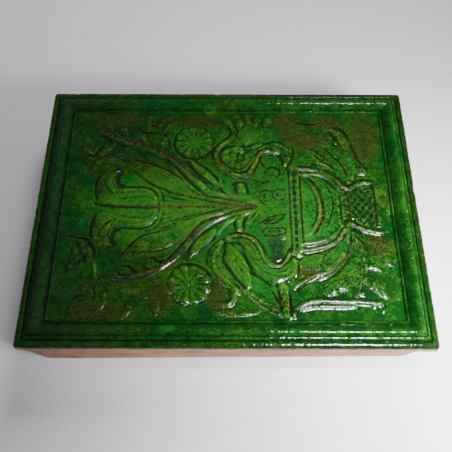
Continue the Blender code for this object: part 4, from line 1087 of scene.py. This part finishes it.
@dataclass
class TileBody:
    """The fired tile: carved plate with moulded frame, and the collar behind it."""

    sizes: TileSizes = field(default_factory=TileSizes)
    carving: Carving = field(default_factory=Carving)
    wear: float = 0.0009
    worn_rim: float = 0.0034
    worn_side: float = 0.004
    glaze_drop: float = 0.0018
    back_edge: float = 0.001
    askew: float = 0.0019
    uneven: float = 0.0004
    rim_rounding: float = 0.0015
    sunk: float = 0.003

    def on_field(self, co: np.ndarray) -> tuple[np.ndarray, np.ndarray, tuple[np.ndarray, np.ndarray]]:
        """Find where vertices lie on the tile.

        Args:
            co: Their places.

        Returns:
            How far in from the tile's edge, whether within the frame, and which point of the carving's grid.
        """
        s, c = self.sizes, self.carving
        inset = np.minimum(0.5 * s.length - np.abs(co[:, 0]), 0.5 * s.width - np.abs(co[:, 1]))
        half_x, half_y = 0.5 * s.length - s.frame, 0.5 * s.width - s.frame
        i = np.rint((co[:, 0] + half_x) / (2.0 * half_x) * c.nx).astype(int)
        j = np.rint((co[:, 1] + half_y) / (2.0 * half_y) * c.ny).astype(int)
        return inset, inset > s.frame - 1e-6, (np.clip(i, 0, c.nx), np.clip(j, 0, c.ny))

    def plate(self) -> bpy.types.Object:
        """Shape the plate from a grid, extrude its frame and sides, and close its back.

        Returns:
            The plate as a closed mesh.
        """
        s = self.sizes
        deselect_everything()
        at_x, at_y, at_z = 0.5 * s.length - s.frame, 0.5 * s.width - s.frame, s.ground
        bpy.ops.mesh.primitive_grid_add(x_subdivisions=self.carving.nx, y_subdivisions=self.carving.ny,
                                        size=1.0, location=(0.0, 0.0, at_z))
        plate = bpy.context.object
        plate.name = "tile_body"
        bpy.ops.object.mode_set(mode="EDIT")
        bpy.ops.mesh.select_all(action="SELECT")
        bpy.ops.transform.resize(value=(2.0 * at_x, 2.0 * at_y, 1.0), center_override=(0.0, 0.0, at_z))
        bpy.ops.mesh.select_mode(type="EDGE")
        bpy.ops.mesh.select_all(action="DESELECT")
        bpy.ops.mesh.select_non_manifold()
        steps = [(share * s.frame, s.ground + rise * s.crest) for share, rise in reversed(FRAME_SECTION)]
        steps += [(0.0, s.back + self.back_edge), (self.back_edge, s.back)]
        for inset, level in steps:
            bpy.ops.mesh.extrude_edges_move(TRANSFORM_OT_translate={"value": (0.0, 0.0, level - at_z)})
            new_x, new_y = 0.5 * s.length - inset, 0.5 * s.width - inset
            bpy.ops.transform.resize(value=(new_x / at_x, new_y / at_y, 1.0),
                                     center_override=(0.0, 0.0, level))
            at_x, at_y, at_z = new_x, new_y, level
        bpy.ops.mesh.edge_face_add()
        bpy.ops.mesh.select_all(action="SELECT")
        bpy.ops.mesh.remove_doubles(threshold=0.00001)
        bpy.ops.mesh.normals_make_consistent(inside=False)
        bpy.ops.object.mode_set(mode="OBJECT")
        bpy.ops.object.transform_apply(location=True, rotation=True, scale=True)
        return plate

    def raise_relief(self, plate: bpy.types.Object) -> None:
        """Move the plate's vertices to the carving, the rounded corners and the worn edges.

        Args:
            plate: The plate, at the origin.
        """
        s, c = self.sizes, self.carving
        c.carve()
        mesh = plate.data
        co = vertex_places(mesh)
        inset, inner, place = self.on_field(co)
        co[:, 2] += np.where(inner, c.z[place] * MM, 0.0)
        # Rounded corners of the tile
        cx, cy = 0.5 * s.length - s.corner, 0.5 * s.width - s.corner
        ox, oy = np.abs(co[:, 0]) - cx, np.abs(co[:, 1]) - cy
        turn = (ox > 0.0) & (oy > 0.0)
        scale = np.maximum(ox, oy) / np.maximum(np.hypot(ox, oy), 1e-9)
        co[:, 0] = np.where(turn, np.sign(co[:, 0]) * (cx + ox * scale), co[:, 0])
        co[:, 1] = np.where(turn, np.sign(co[:, 1]) * (cy + oy * scale), co[:, 1])
        # Edges rough from the mould and nibbled by handling, more at the far side
        rim = np.clip(1.0 - inset / self.worn_rim, 0.0, 1.0) ** 0.7
        rim *= co[:, 2] > s.back + 0.5 * self.back_edge
        long_side = s.length * np.abs(co[:, 1]) > s.width * np.abs(co[:, 0])
        run = np.where(long_side, co[:, 0] + 3.0 * np.sign(co[:, 1]), co[:, 1] + 7.0 * np.sign(co[:, 0])) / MM
        rough = 0.22 * bumps(run, 1.1, 3) + 0.25 * bumps(run, 4.0, 5)
        chips = np.clip(bumps(run, 3.0, 11) - 0.80, 0.0, 1.0) * 4.0 * (0.6 + 0.6 * (co[:, 1] > 0.0))
        bite = self.wear * rim * (rough + chips)
        for k, size in enumerate((s.length, s.width)):
            near_side = np.clip(1.0 + (np.abs(co[:, k]) - 0.5 * size) / self.worn_side, 0.0, 1.0)
            co[:, k] -= np.sign(co[:, k]) * bite * near_side
        co[:, 2] -= 0.6 * bite * (co[:, 2] > s.back + 2.0 * self.back_edge)
        mesh.vertices.foreach_set("co", co.reshape(-1))
        mesh.update()

    def colour_zones(self, plate: bpy.types.Object) -> None:
        """Store where the glaze pools, thins, bleeds ochre or shows rust, and where shade and light are
        painted, as attributes.

        Args:
            plate: The shaped plate.
        """
        s, c = self.sizes, self.carving
        mesh = plate.data
        co = vertex_places(mesh)
        x, y = co[:, 0] / MM, co[:, 1] / MM
        inset, inner, place = self.on_field(co)
        fine = np.linspace(0.0, 1.0, 200)
        profile = np.interp(fine, *zip(*FRAME_SECTION)) * s.crest / MM
        soft = np.convolve(np.pad(profile, 25, mode="edge"), np.ones(51) / 51.0, mode="valid")
        frame_pool = np.interp(np.clip(inset / s.frame, 0.0, 1.0), fine, 0.9 * (soft - profile) + 0.22)
        pool_and_slope_shade = np.where(inner, c.pooling_and_slope_shade()[place], frame_pool)
        rust = np.where(inner, c.rust[place], 0.0)

        def spot(cx: float, cy: float, rx: float, ry: float) -> np.ndarray:
            """Soft oval zone, 1 in its middle and 0 at its edge."""
            return np.clip(1.4 - 1.4 * np.hypot((x - cx) / rx, (y - cy) / ry), 0.0, 1.0)

        ochre = np.zeros(len(co))
        for zone in OCHRE_STAINS:
            ochre = np.maximum(ochre, spot(*zone))
        # Painted shade and light across the tile: the face darker towards both short ends, the frame darker
        # at the left, lighter on the far side and darker on its right outer band
        side = np.clip(x / 150.0, -1.0, 1.0)
        thin_glaze_and_painted_light = -0.04 - 0.12 * np.abs(side)
        outer = np.clip(1.0 - inset / (0.25 * s.frame), 0.0, 1.0)
        for cx, cy, rx, ry, amount in THIN_GLAZE:
            thin_glaze_and_painted_light = np.maximum(thin_glaze_and_painted_light, amount * spot(cx, cy, rx * 1.3, ry * 1.3))
        left, right = np.minimum(side, 0.0), np.maximum(side, 0.0)
        on_frame = 0.12 + 0.14 * left - 0.06 * right + 0.08 * (y > 0.0) + 0.45 * np.maximum(thin_glaze_and_painted_light, 0.0)
        on_frame -= (0.05 + 0.25 * side + 0.6 * right) * outer
        thin_glaze_and_painted_light = np.where(inner, thin_glaze_and_painted_light, on_frame)
        pitted = np.clip(1.3 - inset / (0.16 * s.frame), 0.0, 1.0)
        pitted *= np.where(y < -100.0, 0.10 + 0.08 * side, 0.7)
        ochre = np.where(inner, ochre, 0.55 * outer ** 0.5 - 0.1)
        # The frame's left slopes are painted darker and bluish: painted shade
        tone = np.where(inner, c.tone[place], 0.40 * np.clip(-side * 1.6 - 0.4, 0.0, 1.0) * (outer < 0.1))
        # Streaks run along the frame, and the glaze of each side has its own
        along_x = 0.5 * s.width - np.abs(co[:, 1]) < 0.5 * s.length - np.abs(co[:, 0])
        own = 50.0 * along_x + 11.0 * np.sign(x + 2.0 * y)
        over = np.stack([np.where(along_x, x, y) / 6.0, inset / MM / 0.9, own], axis=-1)
        grain = np.where(inner[:, None], c.grain[place], over)
        layer = mesh.attributes.new("grain", "FLOAT_VECTOR", "POINT")
        layer.data.foreach_set("vector", grain.astype(np.float32).reshape(-1))
        carved = np.where(inner, c.carved[place], 0.6)
        for name, values in (("pool_and_slope_shade", pool_and_slope_shade), ("ochre", ochre), ("thin_glaze_and_painted_light", thin_glaze_and_painted_light), ("rust", rust),
                             ("tone", tone), ("pitted", pitted), ("carved", carved)):
            layer = mesh.attributes.new(name, "FLOAT", "POINT")
            layer.data.foreach_set("value", values.astype(np.float32))

    def collar(self) -> bpy.types.Object:
        """Shape the hollow collar from a plane: rounded, made a ring, raised and flared at the joint.

        Returns:
            The collar as a closed mesh, sunk a little into the plate.
        """
        s = self.sizes
        deselect_everything()
        bpy.ops.mesh.primitive_plane_add(size=1.0, location=(0.0, 0.0, 0.0))
        collar = bpy.context.object
        collar.name = "collar"
        length, width = s.length - 2.0 * s.rim_inset, s.width - 2.0 * s.rim_inset
        flare = s.rim_inset - s.joint_inset
        bpy.ops.object.mode_set(mode="EDIT")
        bpy.ops.mesh.select_mode(type="VERT")
        bpy.ops.mesh.select_all(action="SELECT")
        bpy.ops.transform.resize(value=(length, width, 1.0), center_override=(0.0, 0.0, 0.0))
        bpy.ops.mesh.bevel(offset=s.rim_corner, segments=10, affect="VERTICES")
        bpy.ops.mesh.select_mode(type="FACE")
        bpy.ops.mesh.select_all(action="SELECT")
        bpy.ops.mesh.inset(thickness=s.collar_wall, depth=0.0)
        bpy.ops.mesh.delete(type="FACE")
        bpy.ops.mesh.select_all(action="SELECT")
        smear = s.back - 2.0 * s.luting
        at = 0.0
        for level in (0.33 * smear, 0.66 * smear, smear, s.back - s.luting, s.back, s.back + self.sunk):
            spread = flare * (min(level, s.back) - min(at, s.back)) / s.back
            now = flare * (1.0 - min(at, s.back) / s.back) + s.joint_inset
            grow = [1.0 + spread / (0.5 * size - now) for size in (s.length, s.width)]
            bpy.ops.mesh.extrude_region_move(TRANSFORM_OT_translate={"value": (0.0, 0.0, level - at)})
            bpy.ops.transform.resize(value=(*grow, 1.0), center_override=(0.0, 0.0, level))
            at = level
        bpy.ops.mesh.select_all(action="SELECT")
        bpy.ops.mesh.normals_make_consistent(inside=False)
        bpy.ops.object.mode_set(mode="OBJECT")
        # The clay smeared into the joint thickens the wall inside, and the hand-built rim is a little askew
        for v in collar.data.vertices:
            drawn = 1.0 - min(v.co.z, s.back) / s.back
            half_x, half_y = (0.5 * size - s.joint_inset - drawn * flare for size in (s.length, s.width))
            mid = 0.5 * s.collar_wall
            if max(abs(v.co.x) / (half_x - mid), abs(v.co.y) / (half_y - mid)) < 1.0:
                thick = s.luting * min(max((v.co.z - smear) / (2.0 * s.luting), 0.0), 1.0)
                v.co.x *= 1.0 - thick / half_x
                v.co.y *= 1.0 - thick / half_y
            if v.co.y < 0.0:
                v.co.y += self.askew * drawn * v.co.x / (0.5 * s.length)
            v.co.x += self.uneven * drawn * math.sin(v.co.y * 90.0 + v.co.z * 70.0)
            v.co.y += self.uneven * drawn * math.sin(v.co.x * 80.0 + v.co.z * 50.0)
        bevel = collar.modifiers.new("rim", "BEVEL")
        bevel.width = self.rim_rounding
        bevel.segments = 3
        bevel.limit_method = "ANGLE"
        bevel.angle_limit = math.radians(60.0)
        bpy.ops.object.modifier_apply(modifier=bevel.name)
        return collar

    def build(self, glaze: bpy.types.Material, clay: bpy.types.Material) -> bpy.types.Object:
        """Join plate and collar in one fired piece and dress it.

        Args:
            glaze: Material of the face.
            clay: Material of the upright sides, the back and the collar.

        Returns:
            The finished piece.
        """
        plate = self.plate()
        self.raise_relief(plate)
        self.colour_zones(plate)
        collar = self.collar()
        deselect_everything()
        plate.select_set(True)
        bpy.context.view_layer.objects.active = plate
        join = plate.modifiers.new("luted collar", "BOOLEAN")
        join.operation = "UNION"
        join.solver = "EXACT"
        join.object = collar
        bpy.ops.object.modifier_apply(modifier=join.name)
        bpy.data.objects.remove(collar, do_unlink=True)
        plate.data.materials.clear()
        plate.data.materials.append(glaze)
        plate.data.materials.append(clay)
        # The glaze stops at the edge of the face, and the upright sides below it are bare clay
        for face in plate.data.polygons:
            face.material_index = int(face.center.z < self.sizes.ground - self.glaze_drop)
        plate.select_set(True)
        bpy.context.view_layer.objects.active = plate
        bpy.ops.object.shade_smooth_by_angle(angle=math.radians(50.0))
        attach(plate, "root")
        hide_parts("stove_tile")
        return plate


@dataclass
class Studio:
    """Pale table, soft light and the camera at the photograph's angle."""

    lens: float = 51.306
    camera_at: tuple[float, float, float] = (-0.000206, -0.258043, 0.476985)
    camera_turn: tuple[float, float, float] = (29.021, -0.041, 0.177)

    def table(self) -> bpy.types.Object:
        """Lay the table under the tile and return it."""
        deselect_everything()
        bpy.ops.mesh.primitive_plane_add(size=6.0, location=(0.0, 0.0, 0.0))
        table = bpy.context.object
        table.name = "table"
        table.data.materials.append(TableTop().make())
        return table

    def camera(self) -> bpy.types.Object:
        """Set up the camera and return it."""
        data = bpy.data.cameras.new("camera")
        data.lens = self.lens
        data.sensor_width = 36.0
        camera = bpy.data.objects.new("camera", data)
        bpy.context.scene.collection.objects.link(camera)
        camera.location = self.camera_at
        camera.rotation_euler = tuple(math.radians(a) for a in self.camera_turn)
        bpy.context.scene.camera = camera
        return camera

    def lamp(self, name: str, at: tuple[float, float, float], aim: tuple[float, float, float], size: float,
             power: float, glossy: bool, spread: float = 180.0) -> bpy.types.Object:
        """Hang one soft lamp.

        Args:
            name: Its name.
            at: Its place.
            aim: The point it faces.
            size: Its width in metres.
            power: Its power in watts.
            glossy: Whether the glaze mirrors it.
            spread: Full angle of its beam in degrees.

        Returns:
            The lamp.
        """
        data = bpy.data.lights.new(name, "AREA")
        data.size = size
        data.energy = power
        data.spread = math.radians(spread)
        lamp = bpy.data.objects.new(name, data)
        bpy.context.scene.collection.objects.link(lamp)
        lamp.location = at
        dx, dy, dz = (aim[k] - at[k] for k in range(3))
        lamp.rotation_euler = (math.atan2(math.hypot(dx, dy), -dz), 0.0, math.atan2(-dx, dy))
        lamp.visible_glossy = glossy
        return lamp

    def build(self) -> None:
        """Set the table, lights, world and camera."""
        self.table()
        self.camera()
        self.lamp("high_lamp", (0.33, -0.06, 1.33), (0.13, -0.09, 0.04), 0.20, 0.26, True, 16.0)
        self.lamp("back_glow", (0.20, 0.85, 0.85), (0.05, 0.08, 0.0), 0.50, 12.5, False)
        self.lamp("front_glow", (0.60, -0.70, 0.85), (0.05, 0.0, 0.0), 0.50, 0.5, False)
        self.lamp("side_glow", (0.44, -0.30, 0.30), (0.22, -0.12, 0.0), 0.20, 2.9, False, 66.0)
        world = bpy.data.worlds.new("dim_surroundings")
        world.use_nodes = True
        sky = world.node_tree.nodes["Background"].inputs
        sky["Color"].default_value = (0.80, 0.82, 0.88, 1.0)
        sky["Strength"].default_value = 0.09
        bpy.context.scene.world = world


def main() -> None:
    """Build the tile and its studio and report each piece."""
    logging.basicConfig(level=logging.INFO, format="%(name)s: %(message)s", stream=sys.stdout)
    tile = TileBody().build(GreenLeadGlaze().make(), BareTerracotta().make())
    log.info("%s: %d faces", tile.name, len(tile.data.polygons))
    Studio().build()
    log.info("studio is set")


if __name__ == "__main__":
    main()
